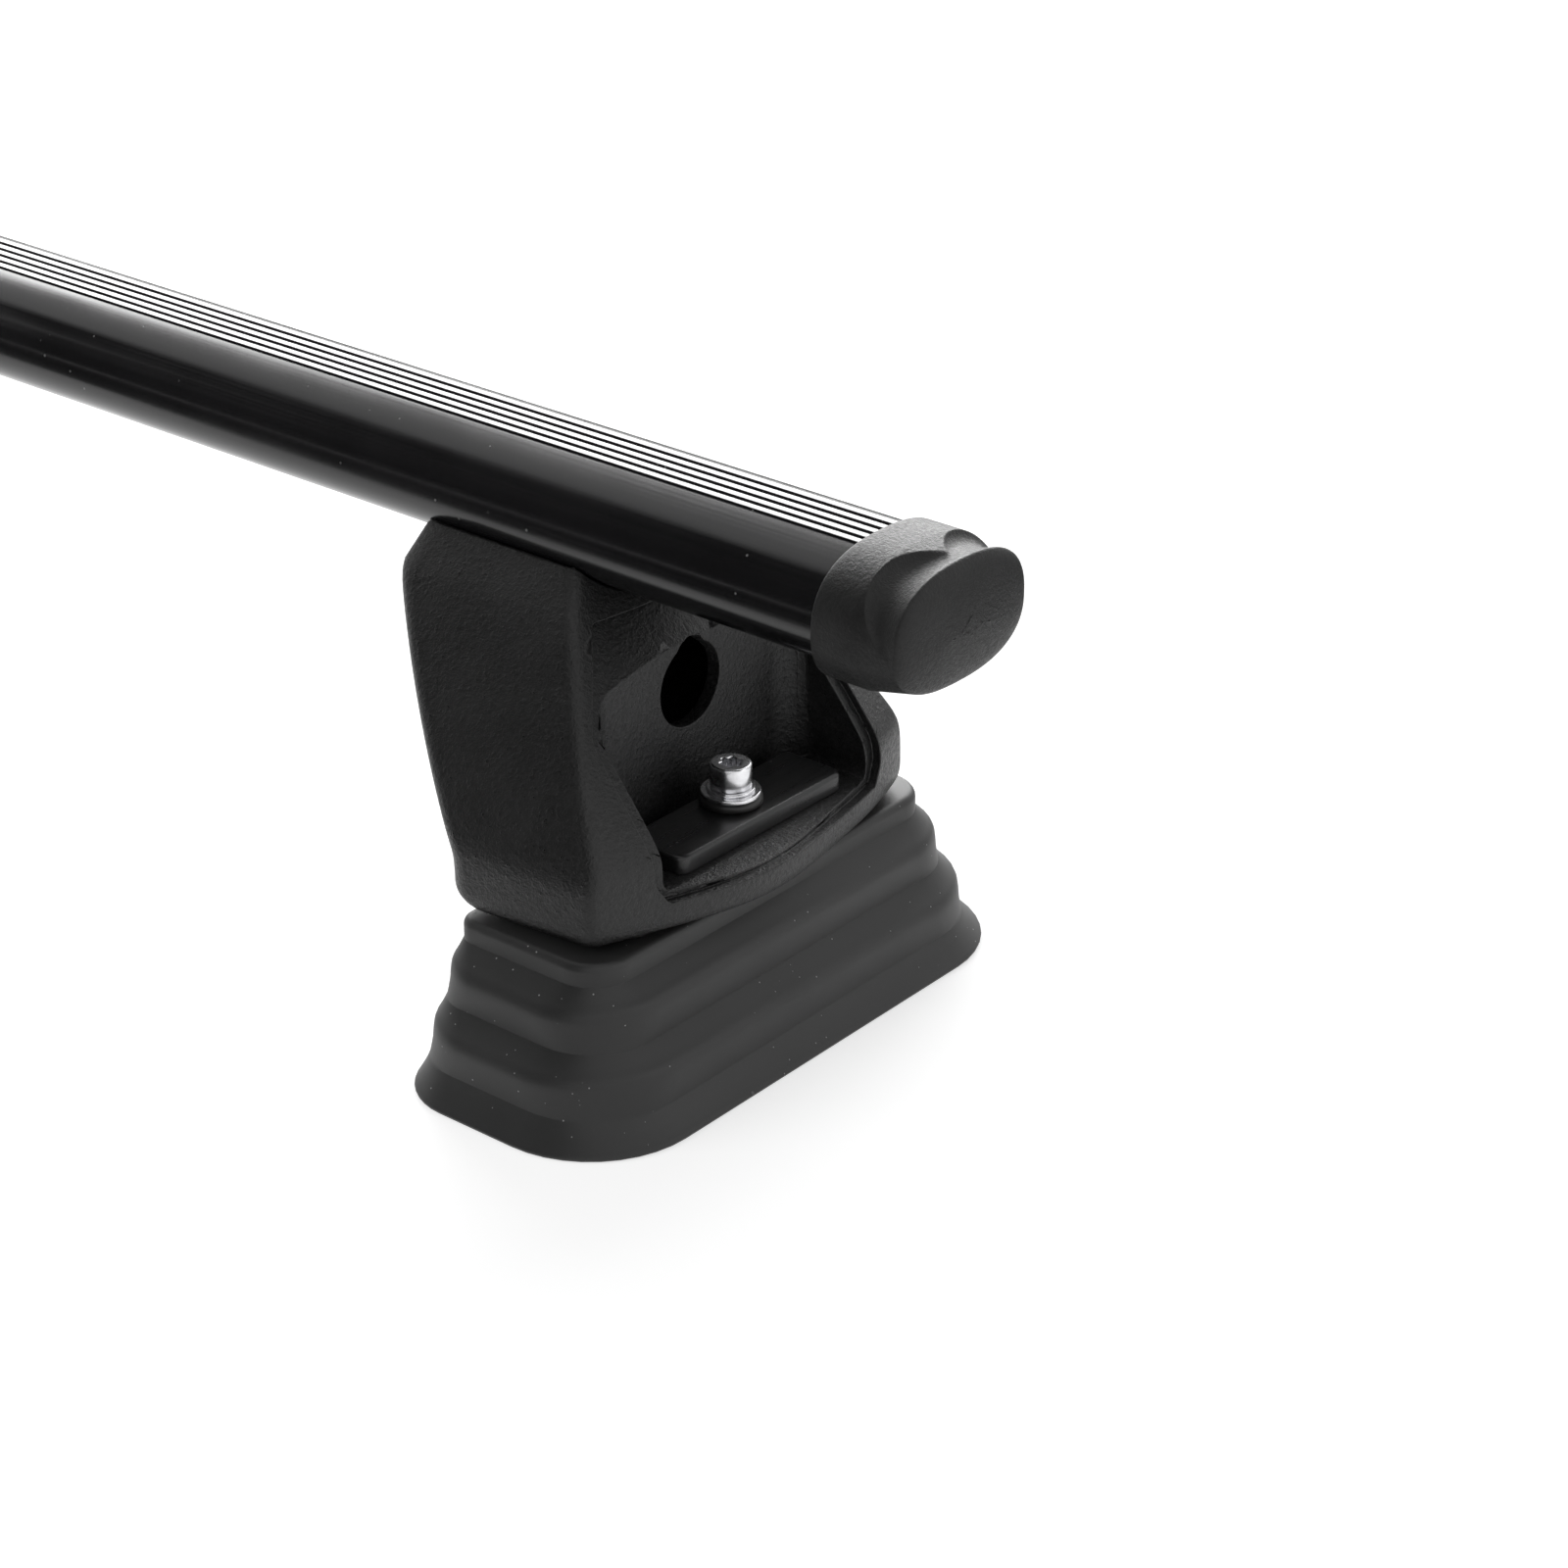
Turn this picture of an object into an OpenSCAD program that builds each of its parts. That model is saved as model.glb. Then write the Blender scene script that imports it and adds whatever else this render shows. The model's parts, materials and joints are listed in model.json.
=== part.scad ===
// Roof rack crossbar: one ribbed bar on two bolt-down feet.
// Millimetres. The bar lies along X, Z is up, and the rubber boots stand on Z = 0.
// Each foot is drawn in its own frame, with the fixing bolt on the Z axis and the
// bar's end towards +X, and is then set out to its side of the bar.

/* [Bar] */
// Length of the metal profile
bar_length = 1186; // [700:2:1600]
// Half of the profile's width
bar_half_w = 22.2; // [18:0.2:24]
// Height of the profile above its widest line, without the ribs
crown_h = 15; // [12:0.2:18]
// Depth of the profile below its widest line
belly_h = 13.5; // [11:0.2:16]
// Squareness of the profile: 2 is a plain oval
section_power = 2.2; // [2:0.05:3]
// Thickness of the profile's wall
bar_wall = 1.6; // [1.2:0.1:2.2]
// Number of grip ribs along the top
rib_count = 5; // [3:1:5]
// Distance from rib to rib
rib_pitch = 3.25; // [2.5:0.05:3.6]
// Height of a rib
rib_h = 0.8; // [0.4:0.1:1.2]
// Width of a rib
rib_w = 2; // [1:0.1:2.2]
// Width of the slot along the underside
slot_w = 8; // [7:0.2:10]

/* [Feet] */
// Distance from each end of the profile to the fixing bolt
foot_inset = 53; // [51:1:160]
// Height of the profile's widest line above the roof
bar_axis_z = 119.6; // [118:0.2:123]
// Height of the underside of the foot housing
housing_z = 42.5; // [41:0.5:44]
// Height of the pocket's floor
floor_z = 51.3; // [50:0.1:53]
// Reach of the housing's front from the bolt, at the middle
nose_x = 18.9; // [17:0.1:22]
// Reach of the housing's back from the bolt
heel_x = 35.3; // [34:0.1:38]
// Half of the housing's width at its foot
side_y = 57.2; // [55:0.2:62]
// How far the back corners stand wider than the front corners
side_taper = 4; // [1:0.5:6]
// How much the front bows: sideways distance squared, times this
front_bow = 0.0036; // [0.002:0.0001:0.005]
// Slope at which the front leans back over the roof
front_lean = 0.83; // [0.7:0.01:0.9]
// Slope at which the back leans over the roof
back_lean = 0.82; // [0.75:0.01:0.85]
// Height at which the lean starts
knee_z = 59.8; // [57:0.2:62]
// Thickness of the housing's walls
housing_wall = 3; // [2.4:0.1:4]
// How far the lips of the cradle stay below the profile's widest line
lip_drop = 5.6; // [4:0.2:7]
// Gap between the saddle and the bar
saddle_gap = 0.3; // [0.2:0.05:0.6]

/* [Pocket] */
// Half of the width of the seat for the cover
seat_y = 43.8; // [42:0.2:45]
// Depth of that seat, measured along the bar
seat_depth = 4; // [2.6:0.2:4.4]
// Half of the pocket's width inside the seat
pocket_y = 37.6; // [35:0.2:38.4]
// Distance from the bolt back to the pocket's rear wall
pocket_back = 13; // [11:0.2:14]
// Radius of the pocket's rear corners
pocket_corner = 9; // [5:0.5:12]
// Radius of the tool hole in the rear wall
tool_hole_r = 10.5; // [8:0.1:11]
// Height of the middle of the tool hole
tool_hole_z = 82.4; // [80:0.2:84]

/* [Boot] */
// Reach of the boot's front from the bolt, above its first fold
boot_front = 13.2; // [12.8:0.1:15]
// Reach of the boot's back from the bolt, above its first fold
boot_back = 30.6; // [28:0.1:32]
// Half of the boot's width above its first fold
boot_half_y = 61.9; // [58:0.1:66]
// Front corner radius of the boot above its first fold
boot_corner = 11; // [8:0.5:16]
// Height of the boot's top
boot_z = 40.5; // [39.5:0.5:41.5]
// Height of the first fold
fold_z = 35; // [32:0.5:36]
// Height of the third fold, where the skirt starts
skirt_z = 7.2; // [6:0.2:9]
// Thickness of the rubber
rubber_wall = 2.6; // [2:0.1:3.4]

/* [Fixing] */
// Radius of the fixing bolt's shank
bolt_r = 3; // [2.5:0.05:3.2]
// Length of the shank under the head
bolt_length = 55; // [50:1:58]
// Length of the shank's threaded end
thread_length = 24; // [18:1:26]
// Radius of the bolt's head
head_r = 5; // [4.5:0.1:5.5]
// Height of the bolt's head
head_h = 6; // [5:0.1:6.5]
// Radius of the flat washer
washer_r = 7.2; // [6.4:0.1:7.5]
// Radius of the rubber retaining washer
retainer_r = 7.65; // [7.2:0.05:8.2]
// Thickness of the clamp plate
plate_t = 4.6; // [3:0.1:6]
// Radial gap between the shank and the retaining washer
spin_gap = 0.05; // [0.02:0.01:0.1]

/* [Hidden] */
SIDES = [-1, 1];

eps = 0.01;
corner_steps = 5;

// Profile of the bar; its crown is cut flat under the ribs
crown_flat = 0.4;
rib_root = 1;
rib_margin = 1.2;
rib_top = crown_h + rib_h;
rib_band = (rib_count - 1) / 2 * rib_pitch + rib_w / 2 + rib_margin;
bar_bottom_z = bar_axis_z - belly_h;
section_steps = 18;

// End caps
cap_overlap = 10.7;
cap_wall = 2.4;
cap_rim_x = bar_length / 2 - cap_overlap;
cap_length = 25.4;
cap_dome_x = 21.9;
scoop_length = 11;
scoop_depth = 2.4;
cap_clear = 0.1;
cap_rim_round = 0.5;
cap_power = 2.45;
cap_cover = 1.1;
cap_narrowing = 1.1;
cap_top_drop = 1;
cap_belly_rise = 2.6;
dome_flatness = 0.75;
scoop_angle = 52;
scoop_spread = 2;
cap_points = 48;
plug_wall = 2;
plug_length = 15;

// Feet
foot_x = bar_length / 2 - foot_inset;

// Stack on the fixing bolt, from the pocket's floor up
contact_gap = 0.05;
plate_top_z = floor_z + plate_t;
retainer_h = 2.2;
flat_h = 1.2;
lock_h = 0.8;
lock_r = head_r + 0.8;
retainer_top_z = plate_top_z + retainer_h;
flat_top_z = retainer_top_z + flat_h;
lock_top_z = flat_top_z + lock_h;
head_z = lock_top_z + contact_gap;
bolt_clear = 0.4;
washer_clear = 0.2;
thread_r = bolt_r - 0.3;
thread_top_z = head_z - bolt_length + thread_length;
plate_front = 10.4;
plate_back = 7.4;
plate_half_y = 29.7;
plate_corner = 3;
plate_bevel = 1;
socket_r = 2.75;
socket_depth = 3.2;
socket_scallop = 0.13;

// Boot: steps outward per fold, and one fold's profile as [share of the pitch, share of the step]
fold_pitch = (fold_z - skirt_z) / 2;
front_step = 5.9;
back_step = 2.7;
side_step = 6.2;
corner_step = 6;
back_corner_step = 4.5;
crest_round = 3;
boot_back_corner = 5;
boot_round = 2;
fold_profile = [[1, 1], [0.72, 1.05], [0.52, 1.05], [0.4, 0.98], [0.31, 0.84], [0.2, 0.53], [0, 0]];
skirt_profile = [[0, 2.84], [0.12, 2.87], [0.33, 2.6], [0.64, 2.27]];
cavity_folds = [2.4, 1.75, 0.8, 0, 0];
boot_least_r = 3;

// Inside of the boot
pad_t = 3;
block_top_z = boot_z - rubber_wall;
block_half_x = 16;
block_half_y = 44;
block_x = -7;
block_corner = 8;
block_wall = 5;
pad_rim = 2;
free_end_r = 10;
free_end_z = thread_top_z + 1;
spigot_half_x = 12;
spigot_half_y = 46;
spigot_x = -3;
spigot_corner = 5;

// Bar clamps inside the housing
clamp_x = [-52, -32];
clamp_gap = 0.1;
clamp_r = 3;
clamp_clear = 0.3;
clamp_head_w = 6.4;
clamp_head_l = 14;
clamp_head_h = 4;
clamp_shank = 21;
clamp_washer_r = 6.4;
clamp_washer_h = 1.4;
clamp_nut_af = 10;
clamp_nut_h = 5.5;
saddle_floor = 6;
saddle_under_z = bar_bottom_z - saddle_gap - saddle_floor;
clamp_reach = clamp_head_l / 2 / (bar_half_w - bar_wall);
clamp_seat_drop = (belly_h - bar_wall) * pow(1 - pow(clamp_reach, section_power), 1 / section_power);
clamp_seat_z = bar_axis_z - clamp_seat_drop + clamp_gap;
clamp_nut_top_z = saddle_under_z - clamp_washer_h;

// Housing: levels of its tower as shares of the height, and how its walls turn
lip_z = bar_axis_z - lip_drop;
lip_slope = 4;
top_side_z = lip_z - lip_slope;
lip_outer_y = bar_half_w - 0.1;
tower_levels = [0, 0.07, 0.136, 0.176, 0.216, 0.264, 0.328, 0.456, 0.6, 0.744, 0.856, 0.928, 0.976, 1];
front_corner = 4;
back_corner = 4;
bottom_round = 5;
under_cut = 0.33;
back_soft = 1.5;
taper_loss = 0.1;
back_knee_drop = 5;
side_knee_drop = 3;
side_lean = 0.4;
side_curve = 0.0034;
hollow_corner = 3;
hollow_levels = [0, 0.17, 0.29, 0.52, 0.77, 1];
hollow_back = 1.25 * housing_wall;
hollow_side = 1.5 * housing_wall;
hollow_front = 2 * housing_wall;
cutter_reach = 50;

// Pocket: outline of the cover's seat and the lobe of the tool hole
sill_drop = 1.3;
seat_foot = 3.3;
seat_shoulder_z = 83.5;
seat_top_z = bar_bottom_z - 2.2;
seat_top_y = 25;
mouth_draft = 1.2;
mouth_radii = [2, 4, 6, 2];
lobe_rise = 6.5;
lobe_r = 5.5;

// A ramp that starts smoothly: about 0 before t = 0 and about t after it
function ramp(t, soft = 3) = (t + sqrt(t * t + soft * soft)) / 2;

// Superellipse point at an angle, with separate heights above and below
function oval_point(a, up, down, power, t) =
    let (c = cos(t), s = sin(t), e = 2 / power)
    [a * sign(c) * pow(abs(c), e), (s > 0 ? up : down) * sign(s) * pow(abs(s), e)];

// Closed superellipse outline
function oval(a, up, down, power, n) =
    [for (i = [0 : n - 1]) oval_point(a, up, down, power, 360 * (i + 0.5) / n)];

// Arc that rounds the corner at p, between its neighbours
function corner_arc(before, p, after, r, n = corner_steps) =
    let (
        u = (before - p) / norm(before - p),
        v = (after - p) / norm(after - p),
        half = acos(max(-1, min(1, u * v))) / 2,
        centre = p + (u + v) / norm(u + v) * r / sin(half),
        a = p + u * r / tan(half) - centre,
        b = p + v * r / tan(half) - centre,
        sweep = 180 - 2 * half
    )
    [for (k = [0 : n]) centre + (a * sin((1 - k / n) * sweep) + b * sin(k / n * sweep)) / sin(sweep)];

// Polygon with each corner rounded by its own radius; radius 0 keeps the point
function rounded(points, radii, n = corner_steps) =
    let (m = len(points))
    [for (i = [0 : m - 1]) each radii[i] == 0 ? [points[i]] :
        corner_arc(points[(i + m - 1) % m], points[i], points[(i + 1) % m], radii[i], n)];

// Rounded rectangle about a centre
function rounded_box(cx, half_x, half_y, r, n = corner_steps) =
    rounded([[cx + half_x, -half_y], [cx + half_x, half_y], [cx - half_x, half_y],
        [cx - half_x, -half_y]], [r, r, r, r], n);

// Outline lifted to a height
function at_height(outline, z) = [for (p = outline) [p[0], p[1], z]];

// Solid through a stack of rings that all have the same number of points
module loft(rings) {
    n = len(rings[0]);
    m = len(rings);
    sides = [for (k = [0 : m - 2], i = [0 : n - 1])
        let (j = (i + 1) % n)
        each [[k * n + i, (k + 1) * n + i, (k + 1) * n + j], [k * n + i, (k + 1) * n + j, k * n + j]]];
    bottom = [[for (i = [0 : n - 1]) i]];
    top = [[for (i = [n - 1 : -1 : 0]) (m - 1) * n + i]];
    polyhedron([for (r = rings) each r], concat(bottom, top, sides), convexity = 8);
}

// Prism along X over an outline in Y and Z
module along_x(from, to) {
    translate([from, 0, 0])
        rotate([90, 0, 90])
            linear_extrude(to - from)
                children();
}

// Places a foot or a cap on one side of the bar
module on_side(side) {
    if (side > 0) children();
    else mirror([1, 0, 0]) children();
}

module foot_place(side) {
    on_side(side) translate([foot_x, 0, 0]) children();
}

// Section of the bar without its ribs, grown all round
function bar_outline(grow) =
    oval(bar_half_w + grow, crown_h + grow, belly_h + grow, section_power, 4 * section_steps);

module bar_section() {
    difference() {
        union() {
            intersection() {
                polygon(bar_outline(0));
                translate([-2 * bar_half_w, -2 * belly_h])
                    square([4 * bar_half_w, 2 * belly_h + crown_h - crown_flat]);
            }
            for (i = [0 : rib_count - 1])
                translate([(i - (rib_count - 1) / 2) * rib_pitch - rib_w / 2, crown_h - rib_root])
                    square([rib_w, rib_h + rib_root]);
        }
        polygon(bar_outline(-bar_wall));
        translate([-slot_w / 2, -belly_h - 1])
            square([slot_w, 2 * bar_wall]);
    }
}

// Metal profile with grip ribs on top and a clamp slot underneath
module bar() {
    color([0.05, 0.05, 0.05])
        translate([0, 0, bar_axis_z])
            along_x(-bar_length / 2, bar_length / 2)
                bar_section();
}

// Depth of the end cap's scoop: it is longest and deepest on the shoulders, at the scoop's angle
function scoop_at(x, t) =
    let (
        w = max(0, cos((t - scoop_angle) * scoop_spread)),
        reach = scoop_length * pow(w, 0.65) + eps,
        u = max(0, min(1, 1 - (cap_dome_x - x) / reach))
    )
    scoop_depth * pow(w, 1.3) * sin(180 * pow(u, 0.7));

// Outline of the end cap at a distance from its rim
function cap_ring(x, shrink) =
    let (
        k = max(0, min(1, 1 - (cap_dome_x - x) / scoop_length)),
        a = bar_half_w + cap_wall - cap_narrowing * k - shrink,
        up = rib_top + cap_cover - cap_top_drop * k - shrink * dome_flatness,
        down = belly_h + cap_wall - cap_belly_rise * k - shrink * dome_flatness,
        outline = oval(a, up, down, cap_power, cap_points)
    )
    [for (p = outline)
        let (s = 1 - scoop_at(x, atan2(p[1], abs(p[0]))) / norm(p))
        [cap_rim_x + x, p[0] * s, bar_axis_z + p[1] * s]];

// Moulded end cap: a collar, a scoop on each shoulder behind a curved ridge, and a domed end
module end_cap() {
    dome = cap_length - cap_dome_x;
    color([0.12, 0.12, 0.12])
        difference() {
            loft(concat(
                [cap_ring(0, cap_rim_round), cap_ring(cap_rim_round, 0)],
                [for (k = [0 : 0.1 : 0.91]) cap_ring(cap_dome_x - scoop_length * (1 - k), 0)],
                [for (k = [0, 22, 45, 62, 76, 86]) cap_ring(cap_dome_x + dome * sin(k),
                    (bar_half_w + 1) * (1 - cos(k)))]
            ));
            translate([0, 0, bar_axis_z])
                along_x(cap_rim_x - 1, bar_length / 2) {
                    polygon(bar_outline(cap_clear));
                    translate([-rib_band, 0])
                        square([2 * rib_band, rib_top + cap_clear]);
                }
        }
    color([0.12, 0.12, 0.12])
        translate([0, 0, bar_axis_z])
            along_x(bar_length / 2 - plug_length, bar_length / 2 + 1)
                difference() {
                    polygon(bar_outline(-bar_wall - cap_clear));
                    polygon(bar_outline(-bar_wall - cap_clear - plug_wall));
                }
}

// Housing: where its front, back and sides lie at a height
function front_at(z) = nose_x - front_lean * ramp(z - knee_z);
function back_at(z) =
    let (
        lean = heel_x + back_lean * ramp(z - knee_z + back_knee_drop),
        limit = heel_x + back_lean * (top_side_z - knee_z)
    )
    -(lean - ramp(lean - limit, back_soft));
function side_at(z) =
    let (t = ramp(z - knee_z + side_knee_drop))
    side_y - side_lean * t - side_curve * t * t;

// Plan outline of the housing at a height, with its front set back and its walls moved in
function housing_ring(z, set_back = 0, bottom = 0) =
    let (
        over = max(0, z - top_side_z) / (lip_z - top_side_z),
        y_front = side_at(min(z, top_side_z)) * (1 - over) + lip_outer_y * over - under_cut * bottom,
        y_back = y_front + side_taper * (1 - taper_loss * (z - housing_z) / (lip_z - housing_z)) * (1 - over),
        x_front = front_at(z) - set_back - under_cut * bottom,
        x_back = back_at(z) + bottom,
        bow = [for (k = [-4 : 4]) let (y = k / 5 * y_front) [x_front - front_bow * y * y, y]],
        edge_x = x_front - front_bow * y_front * y_front
    )
    rounded(concat(
        [[edge_x, -y_front]], bow, [[edge_x, y_front]],
        [[x_back, y_back], [x_back, -y_back]]),
        concat([front_corner], [for (k = bow) 0], [front_corner, back_corner, back_corner]));

module housing_body(set_back) {
    loft(concat(
        [for (k = [0 : 20 : 80])
            let (z = housing_z + bottom_round * (1 - cos(k)))
            at_height(housing_ring(z, set_back, bottom_round * (1 - sin(k))), z)],
        [for (t = tower_levels)
            let (z = housing_z + bottom_round + t * (top_side_z - housing_z - bottom_round))
            at_height(housing_ring(z, set_back), z)],
        [at_height(housing_ring(lip_z, set_back), lip_z)]
    ));
}

// Outline of the pocket or of the cover's seat, seen from the bar's end
function mouth(w, low, top_y, top_z) =
    let (half = [[w - seat_foot, low], [w, low + seat_foot * 1.5], [w - mouth_draft, seat_shoulder_z],
        [top_y, top_z]])
    rounded(concat(half, [for (k = [3 : -1 : 0]) [-half[k][0], half[k][1]]]),
        concat(mouth_radii, [for (k = [3 : -1 : 0]) mouth_radii[k]]), 3);

module pocket() {
    // Shallow seat that follows the leaning front
    difference() {
        along_x(-cutter_reach, cutter_reach)
            polygon(mouth(seat_y, floor_z - sill_drop, seat_top_y, seat_top_z));
        housing_body(seat_depth);
    }
    // Deep pocket down to the floor
    intersection() {
        along_x(-cutter_reach, cutter_reach)
            polygon(mouth(pocket_y, floor_z - seat_foot, seat_top_y - seat_depth, seat_top_z));
        translate([0, 0, floor_z])
            linear_extrude(lip_z - floor_z)
                polygon(rounded([[-pocket_back, -pocket_y], [cutter_reach, -pocket_y],
                    [cutter_reach, pocket_y], [-pocket_back, pocket_y]],
                    [pocket_corner, 0, 0, pocket_corner], 6));
    }
    // Tool hole with its small upper lobe
    along_x(-pocket_back - 3 * housing_wall, 0) {
        translate([0, tool_hole_z])
            circle(r = tool_hole_r, $fn = 48);
        translate([0, tool_hole_z + lobe_rise])
            circle(r = lobe_r, $fn = 32);
    }
}

// Hollow behind the pocket, open to the boot below
function hollow_ring(z) =
    let (
        front = min(-pocket_back - housing_wall, front_at(z) - seat_depth - hollow_front),
        back = back_at(z) + hollow_back,
        w = side_at(z) - hollow_side
    )
    rounded_box((front + back) / 2, (front - back) / 2, w, hollow_corner, 3);

module housing_hollow() {
    low = housing_z + bottom_round;
    loft([for (t = hollow_levels)
        let (z = low + t * (saddle_under_z - low))
        at_height(hollow_ring(z), z)]);
    translate([0, 0, housing_z - 1])
        linear_extrude(bottom_round + 1 + eps)
            polygon(hollow_ring(low));
}

// Moulded foot housing: leaning tower with saddle, cover pocket and boot spigot
module foot_housing() {
    color([0.1, 0.1, 0.1])
        difference() {
            union() {
                housing_body(0);
                translate([0, 0, boot_z])
                    linear_extrude(housing_z - boot_z + 1)
                        polygon(rounded_box(spigot_x, spigot_half_x, spigot_half_y, spigot_corner));
            }
            pocket();
            housing_hollow();
            translate([0, 0, bar_axis_z])
                along_x(-2 * cutter_reach, cutter_reach)
                    polygon(bar_outline(saddle_gap));
            translate([0, 0, boot_z - 1])
                cylinder(r = bolt_r + bolt_clear, h = floor_z - boot_z + 2, $fn = 48);
            for (x = clamp_x)
                translate([x, 0, saddle_under_z - 1])
                    cylinder(r = clamp_r + clamp_clear, h = 2 * saddle_floor, $fn = 48);
        }
}

// Plan outline of the boot at a height, after a number of folds
function boot_ring(z, folds, inset = 0, crest = 0) =
    let (
        front = boot_front + front_step * folds - inset,
        back = -boot_back - back_step * folds + inset,
        w = boot_half_y + side_step * folds - inset,
        r = max(boot_least_r, boot_corner + corner_step * folds + crest - inset),
        r_back = max(boot_least_r, boot_back_corner + back_corner_step * folds + crest - inset)
    )
    at_height(rounded([[front, -w], [front, w], [back, w], [back, -w]], [r, r, r_back, r_back]), z);

// Heights of the boot's cavity, from under the skirt to the block's top
cavity_z = [-1, skirt_z, skirt_z + fold_pitch, fold_z - rubber_wall, block_top_z];

// Bellows boot: a top band, two folds and a flared skirt
module rubber_boot() {
    tiers = [for (t = [1, 0], s = fold_profile)
        [fold_z - fold_pitch * (t + s[0]), t + s[1], crest_round * sin(180 * s[0])]];
    color([0.13, 0.13, 0.13])
        difference() {
            loft(concat(
                [for (s = skirt_profile) boot_ring(s[0] * skirt_z, s[1])],
                [for (s = tiers) boot_ring(s[0], s[1], 0, s[2])],
                [boot_ring(boot_z - boot_round, 0)],
                [for (k = [30, 60, 90]) boot_ring(boot_z - boot_round * (1 - sin(k)), 0,
                    boot_round * (1 - cos(k)))]
            ));
            loft([for (k = [0 : len(cavity_folds) - 1]) boot_ring(cavity_z[k], cavity_folds[k], rubber_wall)]);
            translate([0, 0, block_top_z - 1])
                cylinder(r = bolt_r + bolt_clear, h = rubber_wall + 2, $fn = 48);
        }
}

// Load-bearing block between the housing and the roof
module support_block() {
    color([0.55, 0.56, 0.58])
        difference() {
            translate([0, 0, pad_t])
                linear_extrude(block_top_z - pad_t)
                    polygon(rounded_box(block_x, block_half_x, block_half_y, block_corner));
            translate([0, 0, pad_t - 1])
                cylinder(r = bolt_r + bolt_clear, h = block_top_z, $fn = 48);
            translate([0, 0, pad_t - 1])
                cylinder(r = free_end_r, h = free_end_z - pad_t + 1, $fn = 64);
            for (s = SIDES)
                translate([block_x, s * (free_end_r + block_half_y) / 2, pad_t - 1])
                    linear_extrude(block_top_z - pad_t - block_wall)
                        polygon(rounded_box(0, block_half_x - block_wall,
                            (block_half_y - free_end_r) / 2 - block_wall, block_wall));
        }
}

// Soft pad that spares the roof's paint
module roof_pad() {
    color([0.16, 0.16, 0.16])
        linear_extrude(pad_t)
            difference() {
                polygon(rounded_box(block_x, block_half_x + pad_rim, block_half_y + pad_rim,
                    block_corner + pad_rim));
                circle(r = free_end_r, $fn = 64);
            }
}

// Thick clamp plate on the pocket's floor, with bevelled upper edges
module clamp_plate() {
    outline = rounded([[plate_front, -plate_half_y], [plate_front, plate_half_y],
        [-plate_back, plate_half_y], [-plate_back, -plate_half_y]],
        [plate_corner, plate_corner, 1.5, 1.5], 4);
    inner = rounded([[plate_front - plate_bevel, -plate_half_y + plate_bevel],
        [plate_front - plate_bevel, plate_half_y - plate_bevel],
        [-plate_back + plate_bevel, plate_half_y - plate_bevel],
        [-plate_back + plate_bevel, -plate_half_y + plate_bevel]],
        [plate_corner, plate_corner, 1.5, 1.5], 4);
    color([0.09, 0.09, 0.09])
        difference() {
            loft([at_height(outline, floor_z), at_height(outline, plate_top_z - plate_bevel),
                at_height(inner, plate_top_z)]);
            translate([0, 0, floor_z - 1])
                cylinder(r = bolt_r + bolt_clear, h = plate_t + 2, $fn = 48);
        }
}

// Six-lobed drive socket
module lobed_socket(r, h) {
    linear_extrude(h)
        polygon([for (t = [0 : 7.5 : 359]) r * (1 - socket_scallop * (1 - cos(6 * t))) * [cos(t), sin(t)]]);
}

// Fixing bolt with a cylindrical head
module fixing_bolt() {
    edge = 0.6;
    tip = 0.7;
    color([0.8, 0.8, 0.82])
        difference() {
            rotate_extrude($fn = 64)
                polygon([
                    [0, head_z - bolt_length], [thread_r - tip, head_z - bolt_length],
                    [thread_r, head_z - bolt_length + tip], [thread_r, thread_top_z - bolt_r + thread_r],
                    [bolt_r, thread_top_z], [bolt_r, head_z], [head_r, head_z],
                    [head_r, head_z + head_h - edge], [head_r - 0.15, head_z + head_h - 0.25],
                    [head_r - edge, head_z + head_h], [0, head_z + head_h]
                ]);
            translate([0, 0, head_z + head_h - socket_depth])
                lobed_socket(socket_r, socket_depth + 1);
        }
}

module ring_washer(r, hole, z, h, edge) {
    rotate_extrude($fn = 64)
        polygon([[hole, z], [r - edge, z], [r, z + edge], [r, z + h - edge], [r - edge, z + h],
            [hole, z + h]]);
}

module lock_washer() {
    color([0.78, 0.78, 0.8])
        ring_washer(lock_r, bolt_r + washer_clear, flat_top_z, lock_h, 0.2);
}

module flat_washer() {
    color([0.8, 0.8, 0.82])
        ring_washer(washer_r, bolt_r + washer_clear, retainer_top_z, flat_h, 0.25);
}

// Rubber washer that keeps the loose bolt captive
module retaining_washer() {
    color([0.08, 0.08, 0.08])
        ring_washer(retainer_r, bolt_r + spin_gap, plate_top_z, retainer_h, 0.7);
}

// Hammer-head bolts that hang in the bar's slot; their heads sit on its curved inner wall
module bar_clamp_bolts() {
    color([0.7, 0.7, 0.72])
        for (x = clamp_x)
            translate([x, 0, clamp_seat_z]) {
                translate([-clamp_head_w / 2, -clamp_head_l / 2, 0])
                    cube([clamp_head_w, clamp_head_l, clamp_head_h]);
                translate([0, 0, -clamp_shank])
                    cylinder(r = clamp_r, h = clamp_shank + eps, $fn = 48);
            }
}

module bar_clamp_washers() {
    color([0.75, 0.75, 0.77])
        for (x = clamp_x)
            translate([x, 0, 0])
                ring_washer(clamp_washer_r, clamp_r + washer_clear, clamp_nut_top_z, clamp_washer_h, 0.2);
}

module bar_clamp_nuts() {
    color([0.75, 0.75, 0.77])
        for (x = clamp_x)
            translate([x, 0, clamp_nut_top_z - clamp_nut_h])
                difference() {
                    cylinder(r = clamp_nut_af / 2 / cos(30), h = clamp_nut_h, $fn = 6);
                    translate([0, 0, -1])
                        cylinder(r = clamp_r, h = clamp_nut_h + 2, $fn = 48);
                }
}

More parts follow.
